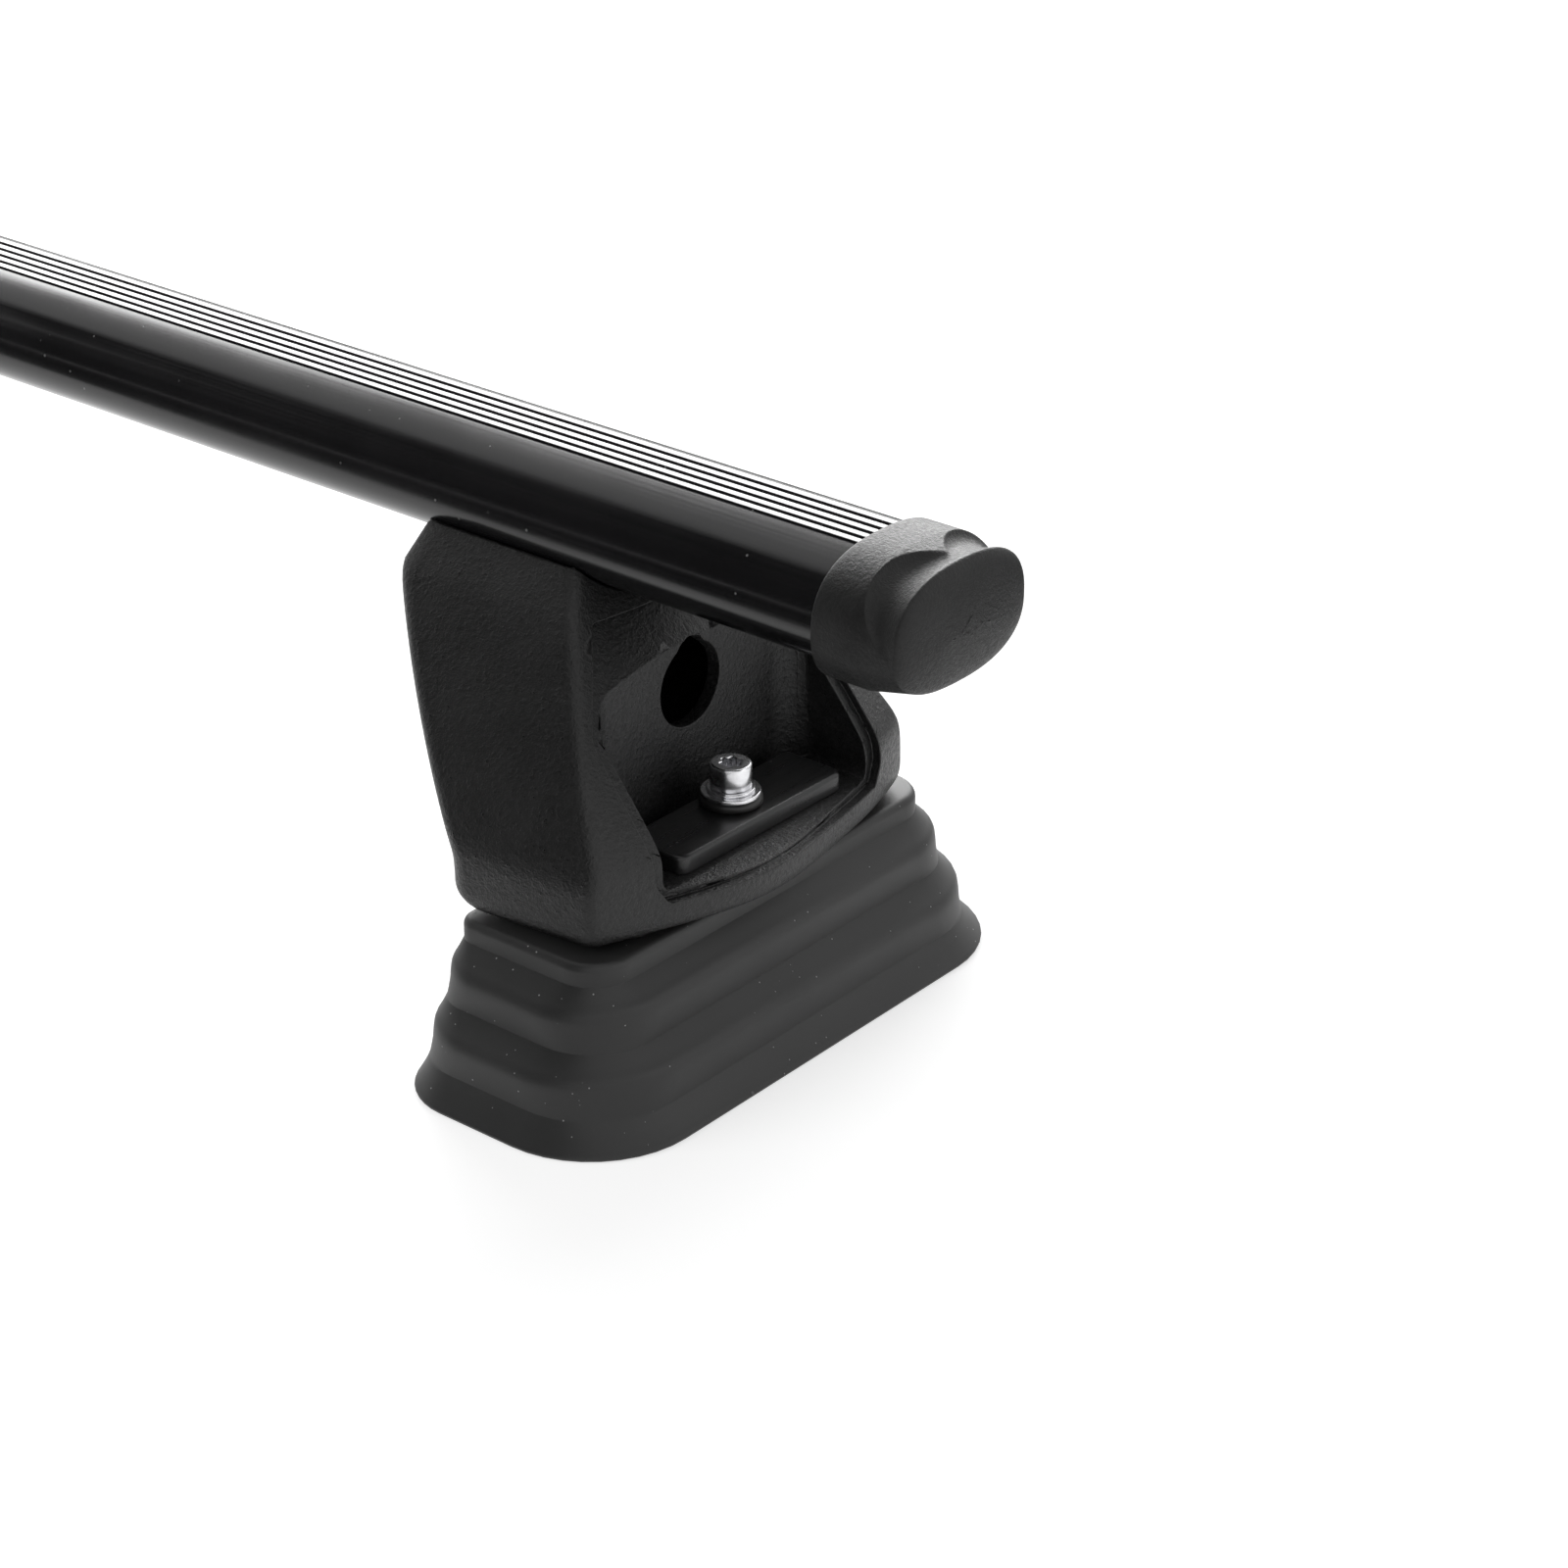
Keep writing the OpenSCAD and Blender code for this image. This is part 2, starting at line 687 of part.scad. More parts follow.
bar();
on_side(-1) end_cap();  // end_cap_left
on_side(1) end_cap();  // end_cap_right
foot_place(-1) foot_housing();  // foot_housing_left
foot_place(1) foot_housing();  // foot_housing_right
foot_place(-1) rubber_boot();  // rubber_boot_left
foot_place(1) rubber_boot();  // rubber_boot_right
foot_place(-1) support_block();  // support_block_left
foot_place(1) support_block();  // support_block_right
foot_place(-1) roof_pad();  // roof_pad_left
foot_place(1) roof_pad();  // roof_pad_right
foot_place(-1) clamp_plate();  // clamp_plate_left
foot_place(1) clamp_plate();  // clamp_plate_right
foot_place(-1) fixing_bolt();  // fixing_bolt_left
foot_place(1) fixing_bolt();  // fixing_bolt_right
foot_place(-1) lock_washer();  // lock_washer_left
foot_place(1) lock_washer();  // lock_washer_right
foot_place(-1) flat_washer();  // flat_washer_left
foot_place(1) flat_washer();  // flat_washer_right
foot_place(-1) retaining_washer();  // retaining_washer_left
foot_place(1) retaining_washer();  // retaining_washer_right
foot_place(-1) bar_clamp_bolts();  // bar_clamp_bolts_left
foot_place(1) bar_clamp_bolts();  // bar_clamp_bolts_right
foot_place(-1) bar_clamp_washers();  // bar_clamp_washers_left
foot_place(1) bar_clamp_washers();  // bar_clamp_washers_right
foot_place(-1) bar_clamp_nuts();  // bar_clamp_nuts_left
foot_place(1) bar_clamp_nuts();  // bar_clamp_nuts_right
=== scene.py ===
# %% [markdown]
# Roof rack crossbar, dressed for a studio picture. The solids come from the imported frame, already
# in metres, with the roof at z = 0, the bar along X and one foot near each end. This first cell
# brings them in.

# %% Load the frame
import json

import bmesh
import bpy
import numpy as np
from mathutils import Matrix

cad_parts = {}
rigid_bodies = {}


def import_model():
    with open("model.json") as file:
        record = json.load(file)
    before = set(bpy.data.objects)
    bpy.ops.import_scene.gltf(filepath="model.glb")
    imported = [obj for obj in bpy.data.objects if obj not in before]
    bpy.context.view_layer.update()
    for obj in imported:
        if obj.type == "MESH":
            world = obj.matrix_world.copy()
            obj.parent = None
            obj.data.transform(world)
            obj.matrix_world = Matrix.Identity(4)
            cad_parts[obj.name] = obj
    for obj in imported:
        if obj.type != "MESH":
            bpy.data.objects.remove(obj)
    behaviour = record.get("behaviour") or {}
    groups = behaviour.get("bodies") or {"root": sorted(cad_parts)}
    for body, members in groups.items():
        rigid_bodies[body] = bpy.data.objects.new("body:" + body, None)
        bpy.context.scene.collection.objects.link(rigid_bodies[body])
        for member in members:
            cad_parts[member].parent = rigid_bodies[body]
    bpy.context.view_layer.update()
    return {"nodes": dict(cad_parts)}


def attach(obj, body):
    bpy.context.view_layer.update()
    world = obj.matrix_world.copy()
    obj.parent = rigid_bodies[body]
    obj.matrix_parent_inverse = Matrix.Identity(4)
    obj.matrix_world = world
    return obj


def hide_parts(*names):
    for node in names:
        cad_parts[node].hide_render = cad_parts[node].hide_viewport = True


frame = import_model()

NODES = frame["nodes"]
SIDES = (("left", -1), ("right", 1))
MIRROR_X = np.array([-1.0, 1.0, 1.0])
FOOT_X = 540.0      # the right foot's bolt, mm from the middle of the bar
AXIS_Z = 119.6      # the bar's axis above the roof
BOLT_HOLE = 3.4     # radius of the fixing bolt's holes

# %% [markdown]
# The camera stands where the photographer stood: low, outboard of the right foot, with a long lens
# that keeps the bar's edges nearly parallel. Its place and lens were worked out from the directions
# in which the bar's and the clamp plate's long edges run together in the picture. A camera matrix
# holds its right, its up and its backward direction as columns.

# %% Camera
view_right = (0.7769, 0.6296, 0.0088)
view_down = (0.2887, -0.3437, -0.8936)
view_ahead = (-0.5596, 0.6968, -0.4488)
camera_data = bpy.data.cameras.new("studio_camera")
camera_data.lens = 87.75
camera_data.sensor_width = 36
camera_data.shift_y = -1 / 1600      # one pixel of the 1600 x 1600 picture
camera_data.clip_start = 0.05
camera_data.clip_end = 60
camera = bpy.data.objects.new("studio_camera", camera_data)
bpy.context.collection.objects.link(camera)
columns = [view_right, [-v for v in view_down], [-v for v in view_ahead], (1.0479, -0.6126, 0.4603)]
rotation = np.eye(4)
rotation[:3, :] = np.array(columns).T
camera.matrix_world = Matrix(rotation.tolist())
bpy.context.scene.camera = camera
print("lens", camera_data.lens, "mm, at", [round(v, 3) for v in camera.location])

# %% [markdown]
# Every new piece here is a surface: rows of points, each row a closed ring, and each ring joined to
# the next by quads. The whole grid is worked out as one numpy array and handed to the mesh in one
# go. The ends are closed by fans to a middle point where the piece is solid, and left joined to
# themselves where the rings run round like a tyre. The sign of the enclosed volume tells whether
# the faces point outwards; if it is negative, the order of the corners is turned round.

# %% Helper: grid of rings to mesh
PIECES = {}


def ring_faces(rows, cols, closed_rows=False):
    """Quad (i, j) joins ring i to ring i + 1 and point j to point j + 1, both counted round."""
    i = np.arange(rows if closed_rows else rows - 1)[:, None]
    j = np.arange(cols)[None, :]
    i_next, j_next = (i + 1) % rows, (j + 1) % cols
    quads = np.stack([i * cols + j, i * cols + j_next, i_next * cols + j_next, i_next * cols + j], -1)
    return quads.reshape(-1, 4)


def signed_volume(points, faces):
    """A sixth of the sum of the triple products of each face's fan of triangles."""
    total = 0.0
    for k in range(1, faces.shape[1] - 1):
        a, b, c = points[faces[:, 0]], points[faces[:, k]], points[faces[:, k + 1]]
        total += np.einsum("ij,ij->", a, np.cross(b, c)) / 6
    return total


def end_faces(rows, cols, ends):
    """Fan of triangles to a middle point, or for a folded ring a strip of quads between its outer
    point j and its inner point cols - 1 - j."""
    j = np.arange(cols)
    if ends == "strip":
        j = np.arange(cols // 2 - 1)
        first = np.stack([j, j + 1, cols - 2 - j, cols - 1 - j], -1)
        return [first[:, ::-1], first + (rows - 1) * cols]
    last = (rows - 1) * cols
    return [np.stack([np.full(cols, rows * cols), (j + 1) % cols, j], -1),
            np.stack([np.full(cols, rows * cols + 1), last + j, last + (j + 1) % cols], -1)]


def grid_piece(name, rings, slot, body, ends="fan", sharp=35.0, mirrored=False):
    """Mesh from rings given in millimetres as an array [ring, point, xyz]; ends are fan, strip, or
    loop where the last ring joins the first."""
    rows, cols = rings.shape[:2]
    points = rings.reshape(-1, 3) / 1000.0
    if mirrored:
        points = points * MIRROR_X
    faces = [ring_faces(rows, cols, ends == "loop")]
    if ends != "loop":
        faces += end_faces(rows, cols, ends)
    if ends == "fan":
        points = np.vstack([points, points[:cols].mean(0), points[-cols:].mean(0)])
    if sum(signed_volume(points, f) for f in faces) < 0:
        faces = [f[:, ::-1] for f in faces]
    mesh = bpy.data.meshes.new(name)
    mesh.from_pydata(points.tolist(), [], [list(f) for part in faces for f in part.tolist()])
    mesh.validate()
    piece = bpy.data.objects.new(name, mesh)
    bpy.context.collection.objects.link(piece)
    mesh.shade_smooth()
    mesh.set_sharp_from_angle(angle=np.radians(sharp))
    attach(piece, body)
    PIECES.setdefault(slot, []).append(piece)
    return piece


def rounded_ring(corners, radii, steps):
    """Polygon whose corner p becomes an arc: its centre lies on the bisector, radius / sin(half
    angle) from p, and the arc is a spherical blend between the two tangent points."""
    corners = np.asarray(corners, float)
    ring = []
    for k, p in enumerate(corners):
        u = corners[k - 1] - p
        v = corners[(k + 1) % len(corners)] - p
        u, v = u / np.linalg.norm(u), v / np.linalg.norm(v)
        half = np.arccos(np.clip(u @ v, -1, 1)) / 2
        r = max(radii[k], 1e-3)
        centre = p + (u + v) / np.linalg.norm(u + v) * r / np.sin(half)
        a, b = p + u * r / np.tan(half) - centre, p + v * r / np.tan(half) - centre
        sweep = np.pi - 2 * half
        t = np.linspace(0, 1, steps + 1)[:, None]
        ring.append(centre + (a * np.sin((1 - t) * sweep) + b * np.sin(t * sweep)) / np.sin(sweep))
    return np.vstack(ring)


print("helpers ready")

# %% [markdown]
# Black things are made by their sheen, not by their colour. A small set of node helpers keeps each
# material short: a principled shader whose constant numbers sit on its own sockets, and patterns
# read from Object coordinates, so that they stay put when a foot slides along the bar.

# %% Helper: material nodes
def new_finish(name, colour, roughness, specular=0.5, metallic=0.0):
    """Material with a principled shader; returns its tree, shader and Object coordinates."""
    finish = bpy.data.materials.new(name)
    finish.use_nodes = True
    tree = finish.node_tree
    shader = tree.nodes["Principled BSDF"]
    shader.inputs["Base Color"].default_value = (*colour, 1)
    shader.inputs["Roughness"].default_value = roughness
    shader.inputs["Specular IOR Level"].default_value = specular
    shader.inputs["Metallic"].default_value = metallic
    where = tree.nodes.new("ShaderNodeTexCoord").outputs["Object"]
    return finish, tree, shader, where


def noise(tree, where, scale, detail=3.0, roughness=0.55):
    """Noise texture of a given number of waves per metre."""
    node = tree.nodes.new("ShaderNodeTexNoise")
    node.inputs["Scale"].default_value = scale
    node.inputs["Detail"].default_value = detail
    node.inputs["Roughness"].default_value = roughness
    tree.links.new(where, node.inputs["Vector"])
    return node.outputs["Fac"]


def spread(tree, value, low, high, out_low, out_high):
    """Straight-line change of range, held at its ends."""
    node = tree.nodes.new("ShaderNodeMapRange")
    ends = {"From Min": low, "From Max": high, "To Min": out_low, "To Max": out_high}
    for key, number in ends.items():
        node.inputs[key].default_value = number
    tree.links.new(value, node.inputs["Value"])
    return node.outputs["Result"]


def join(tree, kind, a, b):
    """Arithmetic on two values; either may be a number."""
    node = tree.nodes.new("ShaderNodeMath")
    node.operation = kind
    for socket, value in zip(node.inputs, (a, b)):
        if isinstance(value, (int, float)):
            socket.default_value = value
        else:
            tree.links.new(value, socket)
    return node.outputs["Value"]


def grey(tree, value, dark, light):
    """Colour that runs from one grey to another as the value runs from 0 to 1."""
    node = tree.nodes.new("ShaderNodeMix")
    node.data_type = "RGBA"
    node.inputs["A"].default_value = (*dark, 1)
    node.inputs["B"].default_value = (*light, 1)
    tree.links.new(value, node.inputs["Factor"])
    return node.outputs["Result"]


def bump(tree, shader, height, distance):
    """Relief of a given depth in metres."""
    node = tree.nodes.new("ShaderNodeBump")
    node.inputs["Distance"].default_value = distance
    node.inputs["Strength"].default_value = 1.0
    tree.links.new(height, node.inputs["Height"])
    tree.links.new(node.outputs["Normal"], shader.inputs["Normal"])


def dust(tree, where, scale, share):
    """Specks: cells of a Voronoi pattern whose distance to their centre is tiny, kept where a
    second, random value of the cell is high."""
    cells = tree.nodes.new("ShaderNodeTexVoronoi")
    cells.inputs["Scale"].default_value = scale
    tree.links.new(where, cells.inputs["Vector"])
    pick = tree.nodes.new("ShaderNodeSeparateColor")
    tree.links.new(cells.outputs["Color"], pick.inputs["Color"])
    near = spread(tree, cells.outputs["Distance"], 0.10, 0.16, 1.0, 0.0)
    chosen = spread(tree, pick.outputs["Red"], 1 - share, 1 - share + 0.01, 0.0, 1.0)
    return join(tree, "MULTIPLY", near, chosen)


print("node helpers ready")

# %% [markdown]
# The profile is an extruded aluminium oval, 44 mm wide, with five grip ribs on its crown and a slot
# along its underside for the clamp bolts. Its section is one closed ring: round the outside from the
# slot, over the ribs, back to the slot, and then back along the inner wall. Carrying that ring along
# the bar gives a true thin-walled profile, and a strip of quads closes each sawn end.

# %% Section of the profile
HALF_W, BELLY, SQUARENESS = 22.2, 13.5, 2.2
CROWN, SWELL = 15.0, 16.0      # height of the inner oval's skin and of the outer shoulders' oval
RIB_TOP, RIB_ROOT, RIB_PITCH, RIB_W = 15.8, 15.35, 3.25, 2.0
WALL, SLOT_W = 1.6, 8.0
BAR_END = 593.0


def oval(half_w, up, down, power, angle):
    """Superellipse: each coordinate is the cosine or sine, signed, to the power 2 / squareness."""
    c, s = np.cos(angle), np.sin(angle)
    y = half_w * np.sign(c) * np.abs(c) ** (2 / power)
    z = np.where(s > 0, up, down) * np.sign(s) * np.abs(s) ** (2 / power)
    return np.stack([y, z], -1)


def angle_at(y, half_w, power):
    """Angle at which the superellipse reaches a distance y from its middle."""
    return np.arccos((y / half_w) ** (power / 2))


def rib_line():
    """Corners over the five ribs from right to left: up, across and down again for each rib."""
    corners, radii = [], []
    for k in range(2, -3, -1):
        middle = k * RIB_PITCH
        right, left = middle + RIB_W / 2, middle - RIB_W / 2
        corners += [(right, RIB_ROOT), (right, RIB_TOP), (left, RIB_TOP), (left, RIB_ROOT)]
        radii += [0.1, 0.2, 0.2, 0.1]
    return corners, radii


corners, radii = rib_line()
rib_edge = corners[0][0]
shoulder = (rib_edge, SWELL * (1 - (rib_edge / HALF_W) ** SQUARENESS) ** (1 / SQUARENESS))
crest = rounded_ring([shoulder] + corners[1:-1] + [(-shoulder[0], shoulder[1])],
                     [0.02] + radii[1:-1] + [0.02], 6)[7:-7]
side = oval(HALF_W, SWELL, BELLY, SQUARENESS,
            np.linspace(-angle_at(SLOT_W / 2, HALF_W, SQUARENESS),
                        angle_at(rib_edge, HALF_W, SQUARENESS), 90))
outside = np.vstack([side, crest, side[::-1] * [-1, 1]])


def turn_of(points):
    """Angle of each outer point, made to grow all the way round by a tenth of an even spacing."""
    y, z = points.T
    turn = np.arctan2(np.sign(z) * np.abs(z / np.where(z > 0, SWELL, BELLY)) ** (SQUARENESS / 2),
                      np.sign(y) * np.abs(y / HALF_W) ** (SQUARENESS / 2))
    turn = np.maximum.accumulate(np.where(turn < -np.pi / 2, turn + 2 * np.pi, turn))
    return 0.9 * turn + 0.1 * np.linspace(turn[0], turn[-1], len(turn))


inner_w, slot_angle = HALF_W - WALL, angle_at(SLOT_W / 2, HALF_W - WALL, SQUARENESS)
turn = turn_of(outside)[::-1]
inner_turn = np.interp(turn, [turn[-1], turn[0]], [-slot_angle, np.pi + slot_angle])
inside = oval(inner_w, CROWN - WALL, BELLY - WALL, SQUARENESS, inner_turn)
section = np.vstack([outside, inside])
print("points round the profile:", len(section))

# %% Bar
def along_bar(section, stations):
    """The same section at every station: x runs along the bar, y and z come from the section."""
    rings = np.empty((len(stations), len(section), 3))
    rings[..., 0] = np.asarray(stations)[:, None]
    rings[..., 1:] = section + [0, AXIS_Z]
    return rings


rings = along_bar(section, np.linspace(-BAR_END, BAR_END, 41))
bar = grid_piece("bar_profile", rings, "bar_black", "bar", ends="strip", sharp=40)
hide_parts("bar")
print("bar faces:", len(bar.data.polygons))

# %% [markdown]
# The end cap is a moulded cup pushed over the profile. It has a straight collar, a scoop pressed
# into each upper shoulder behind a curved ridge, and a domed end. The scoop is made by pulling the
# section in: deepest in the middle of its own little window, which is given by an angle round the
# section and a share of the way from the ridge to the dome. The inside is a pocket that follows the
# profile and its ribs, so the rim shows its real wall.

# %% End caps
CAP_RIM = BAR_END - 10.7
CAP_COLLAR, CAP_DOME, CAP_END = 10.9, 21.9, 25.4      # measured from the rim
CAP_WALL, CAP_POWER, CAP_CLEAR = 2.4, 2.45, 0.1
SCOOP_DEPTH, SCOOP_LENGTH, SCOOP_ANGLE = 2.4, 11.0, 46
PLUG_LENGTH = 15


def cap_section(x, shrink, angle):
    """Superellipse a wall larger than the profile, which narrows by a few tenths towards the dome."""
    k = np.clip((x - CAP_COLLAR) / (CAP_DOME - CAP_COLLAR), 0, 1)
    return oval(HALF_W + CAP_WALL - 1.1 * k - shrink, RIB_TOP + 1.06 - 1.0 * k - 0.75 * shrink,
                BELLY + CAP_WALL - 2.6 * k - 0.75 * shrink, CAP_POWER, angle)


def scoop_depth(x, section):
    """Depth = 2.4 mm x window round the section x hollow along it. The window is a cosine about 46
    degrees; the hollow is up to 11 mm long, so its ridge bends towards the rim on the shoulder."""
    t = np.degrees(np.arctan2(section[:, 1], np.abs(section[:, 0])))
    window = np.clip(np.cos(np.radians((t - SCOOP_ANGLE) * 1.8)), 0, 1)
    length = SCOOP_LENGTH * window ** 0.65 + 1e-6
    u = np.clip(1 - (CAP_DOME - x) / length, 0, 1)
    return SCOOP_DEPTH * window ** 1.3 * np.sin(np.pi * u ** 0.7)


def cap_ring(x, shrink, angle, scooped=True):
    """The cap's section at x from its rim, with the scoop's depth taken off along each radius."""
    section = cap_section(x, shrink, angle)
    if scooped:
        section = section * (1 - scoop_depth(x, section) / np.linalg.norm(section, axis=1))[:, None]
    return np.column_stack([np.full(len(angle), CAP_RIM + x), section + [0, AXIS_Z]])


def cap_rings():
    """Inside of the cup from its floor to the rim, then over the rim and along the outside."""
    angle = np.linspace(0, 2 * np.pi, 320, endpoint=False) + 0.005
    pocket = oval(HALF_W + CAP_CLEAR, CROWN + CAP_CLEAR, BELLY + CAP_CLEAR, SQUARENESS, angle)
    ribs = (np.abs(pocket[:, 0]) < 9.3) & (pocket[:, 1] > 0)
    pocket[ribs, 1] = RIB_TOP + CAP_CLEAR
    rows = [np.column_stack([np.full(len(angle), x), pocket + [0, AXIS_Z]])
            for x in (BAR_END + 0.05, CAP_RIM + 4, CAP_RIM + 0.25, CAP_RIM)]
    for k in np.radians([0, 30, 60, 90]):
        rows.append(cap_ring(0.5 - 0.5 * np.cos(k), 0.5 - 0.5 * np.sin(k), angle))
    for x in np.concatenate([np.linspace(2, 10.7, 8), np.linspace(CAP_COLLAR, CAP_DOME - 0.3, 56)]):
        rows.append(cap_ring(x, 0, angle))
    for k in np.radians([0, 5, 11, 18, 26, 35, 45, 55, 65, 74, 82, 87]):
        x = CAP_DOME + (CAP_END - CAP_DOME) * np.sin(k)
        rows.append(cap_ring(x, (HALF_W + 1) * (1 - np.cos(k)), angle, scooped=False))
    return np.stack(rows)


cap_surface = cap_rings()
plug_angle = np.linspace(0, 2 * np.pi, 96, endpoint=False) + 0.01
plug_out = oval(HALF_W - WALL - CAP_CLEAR, CROWN - WALL - CAP_CLEAR, BELLY - WALL - CAP_CLEAR,
                SQUARENESS, plug_angle)
plug_tip = BAR_END - PLUG_LENGTH
plug_surface = np.concatenate([along_bar(plug_out * 0.84, [BAR_END, plug_tip]),
                               along_bar(plug_out, [plug_tip, BAR_END])])
for word, sign in SIDES:
    cap = grid_piece("cap_shell_" + word, cap_surface, "cap_plastic", "bar", mirrored=sign < 0)
    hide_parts("end_cap_" + word)
    grid_piece("cap_plug_" + word, plug_surface, "cap_plastic", "bar",
               ends="loop", mirrored=sign < 0)
print("cap reaches", round(float(cap_surface[..., 0].max()), 2), "mm")

# %% [markdown]
# The boot is one rubber moulding that takes up the height between housing and roof: a straight band
# at the top, two folds that each step outwards, and a thin flared skirt that lies on the paint. Seen
# from above every level is a rounded rectangle. Its profile is a list of heights and steps; a smooth
# curve is drawn through each fold, and the creases between folds stay crisp because a fold starts
# there with a new direction.

# %% Boots
FOLD_Z, SKIRT_Z, BOOT_TOP, RUBBER = 35.0, 7.2, 40.5, 2.6
FOLD_PITCH = (FOLD_Z - SKIRT_Z) / 2


def foot_outline(x0, x1, half_y, front_r, back_r, steps=10):
    """Rounded rectangle from x0 at the back to x1 at the front, as far to each side as half_y."""
    return rounded_ring([(x1, -half_y), (x1, half_y), (x0, half_y), (x0, -half_y)],
                        [front_r, front_r, back_r, back_r], steps)


def boot_ring(z, folds, inset=0.0, crest=0.0):
    """Each step moves the front out by 5.9, the back by 2.7 and the sides by 6.2 mm."""
    outline = foot_outline(-30.6 - 2.7 * folds + inset, 13.2 + 5.9 * folds - inset,
                           61.9 + 6.2 * folds - inset,
                           max(3, 11 + 6 * folds + crest - inset),
                           max(3, 5 + 4.5 * folds + crest - inset))
    return np.column_stack([outline, np.full(len(outline), z)])


def smooth_through(points, per_span):
    """Hermite curve through the points; each slope is the mean of its neighbours' directions."""
    p = np.asarray(points, float)
    slope = np.gradient(p, axis=0)
    slope[0], slope[-1] = p[1] - p[0], p[-1] - p[-2]
    t = np.linspace(0, 1, per_span, endpoint=False)[:, None]
    spans = [(2 * t**3 - 3 * t**2 + 1) * p[k] + (t**3 - 2 * t**2 + t) * slope[k]
             + (3 * t**2 - 2 * t**3) * p[k + 1] + (t**3 - t**2) * slope[k + 1]
             for k in range(len(p) - 1)]
    return np.vstack(spans + [p[-1:]])


def boot_rings():
    """Outside from the skirt's edge up to the top face, through the bolt hole, and back inside."""
    fold = smooth_through([(0, 0), (0.2, 0.53), (0.31, 0.84), (0.4, 0.98), (0.52, 1.05),
                           (0.72, 1.05), (1, 1)], 5)
    skirt = smooth_through([(1, 2.0), (0.64, 2.27), (0.33, 2.6), (0.12, 2.85), (0, 2.82)], 5)
    rows = [boot_ring(SKIRT_Z * a, b) for a, b in skirt[::-1]][:-1]
    for tier in (1, 0):
        rows += [boot_ring(FOLD_Z - FOLD_PITCH * (tier + a), tier + b, 0,
                           3 * np.sin(np.pi * min(a, 1))) for a, b in fold[::-1]][:-1]
    rows += [boot_ring(z, 0) for z in (FOLD_Z, FOLD_Z + 1.2, BOOT_TOP - 2)]
    for k in np.radians([15, 30, 45, 60, 75, 90]):
        rows.append(boot_ring(BOOT_TOP - 2 * (1 - np.sin(k)), 0, 2 * (1 - np.cos(k))))
    top = rows[-1]
    turn = np.arctan2(top[:, 1], top[:, 0])
    hole = BOLT_HOLE * np.column_stack([np.cos(turn), np.sin(turn)])
    rows += [np.column_stack([hole, np.full(len(hole), z)]) for z in (BOOT_TOP, BOOT_TOP - RUBBER)]
    for z, folds in ((BOOT_TOP - RUBBER, 0), (FOLD_Z - RUBBER, 0), (SKIRT_Z + FOLD_PITCH, 0.8),
                     (SKIRT_Z, 1.75), (0.0, 2.32)):
        rows.append(boot_ring(z, folds, RUBBER))
    return np.stack(rows) + [FOOT_X, 0, 0]


boot_surface = boot_rings()
for word, sign in SIDES:
    boot = grid_piece("boot_skin_" + word, boot_surface, "boot_rubber", "foot_" + word,
                      ends="loop", sharp=24, mirrored=sign < 0)
    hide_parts("rubber_boot_" + word)
print("boot rows and points:", boot_surface.shape[:2])

# %% [markdown]
# On the pocket's floor lies a thick clamp plate, and on it the captive bolt stands in a rubber
# retaining washer under a flat and a lock washer. Round parts are a profile turned about the bolt's
# axis. The drive socket in the head is the same turning with a radius that waves six times round.

# %% Clamp plates, washers and bolts
def turned(profile, cols=128, scallop=None):
    """Ring k has radius profile[k][0] at height profile[k][1]; a ring's scallop share turns the
    circle into six lobes: r x (1 - share x (1 - cos 6 t))."""
    t = np.linspace(0, 2 * np.pi, cols, endpoint=False)
    rows = []
    for k, (r, z) in enumerate(profile):
        radius = r * (1 - (scallop[k] if scallop else 0) * (1 - np.cos(6 * t)))
        rows.append(np.column_stack([FOOT_X + radius * np.cos(t), radius * np.sin(t),
                                     np.full(cols, z)]))
    return np.stack(rows)


def rounded_washer(outer, hole, z, h, edge):
    """Profile of a washer: its outer edges are quarter circles of radius edge."""
    arc = np.radians(np.linspace(0, 90, 6))
    low = [(outer - edge + edge * np.sin(a), z + edge - edge * np.cos(a)) for a in arc]
    high = [(outer - edge + edge * np.cos(a), z + h - edge + edge * np.sin(a)) for a in arc]
    return [(hole, z)] + low + high + [(hole, z + h)]


FLOOR_Z, PLATE_TOP, FLAT_Z, LOCK_Z = 51.3, 55.9, 58.1, 59.3      # heights of the clamped stack
HEAD_Z, HEAD_TOP, SOCKET_FLOOR = 60.15, 66.15, 62.95


def plate_rings():
    """Slab with a 1 mm rounding on its upper edge and a hole for the bolt."""
    def outline(inset, z):
        ring = foot_outline(-7.4 + inset, 10.4 - inset, 29.7 - inset, 3, 1.5, 6)
        return np.column_stack([ring, np.full(len(ring), z)])
    rows = [outline(0.25, FLOOR_Z), outline(0.0, FLOOR_Z + 0.25), outline(0.0, PLATE_TOP - 1)]
    rows += [outline(1 - np.cos(a), PLATE_TOP - 1 + np.sin(a))
             for a in np.radians([15, 30, 45, 60, 75, 90])]
    turn = np.arctan2(rows[-1][:, 1], rows[-1][:, 0])
    hole = BOLT_HOLE * np.column_stack([np.cos(turn), np.sin(turn)])
    rows += [np.column_stack([hole, np.full(len(hole), z)]) for z in (PLATE_TOP, FLOOR_Z)]
    return np.stack(rows) + [FOOT_X, 0, 0]


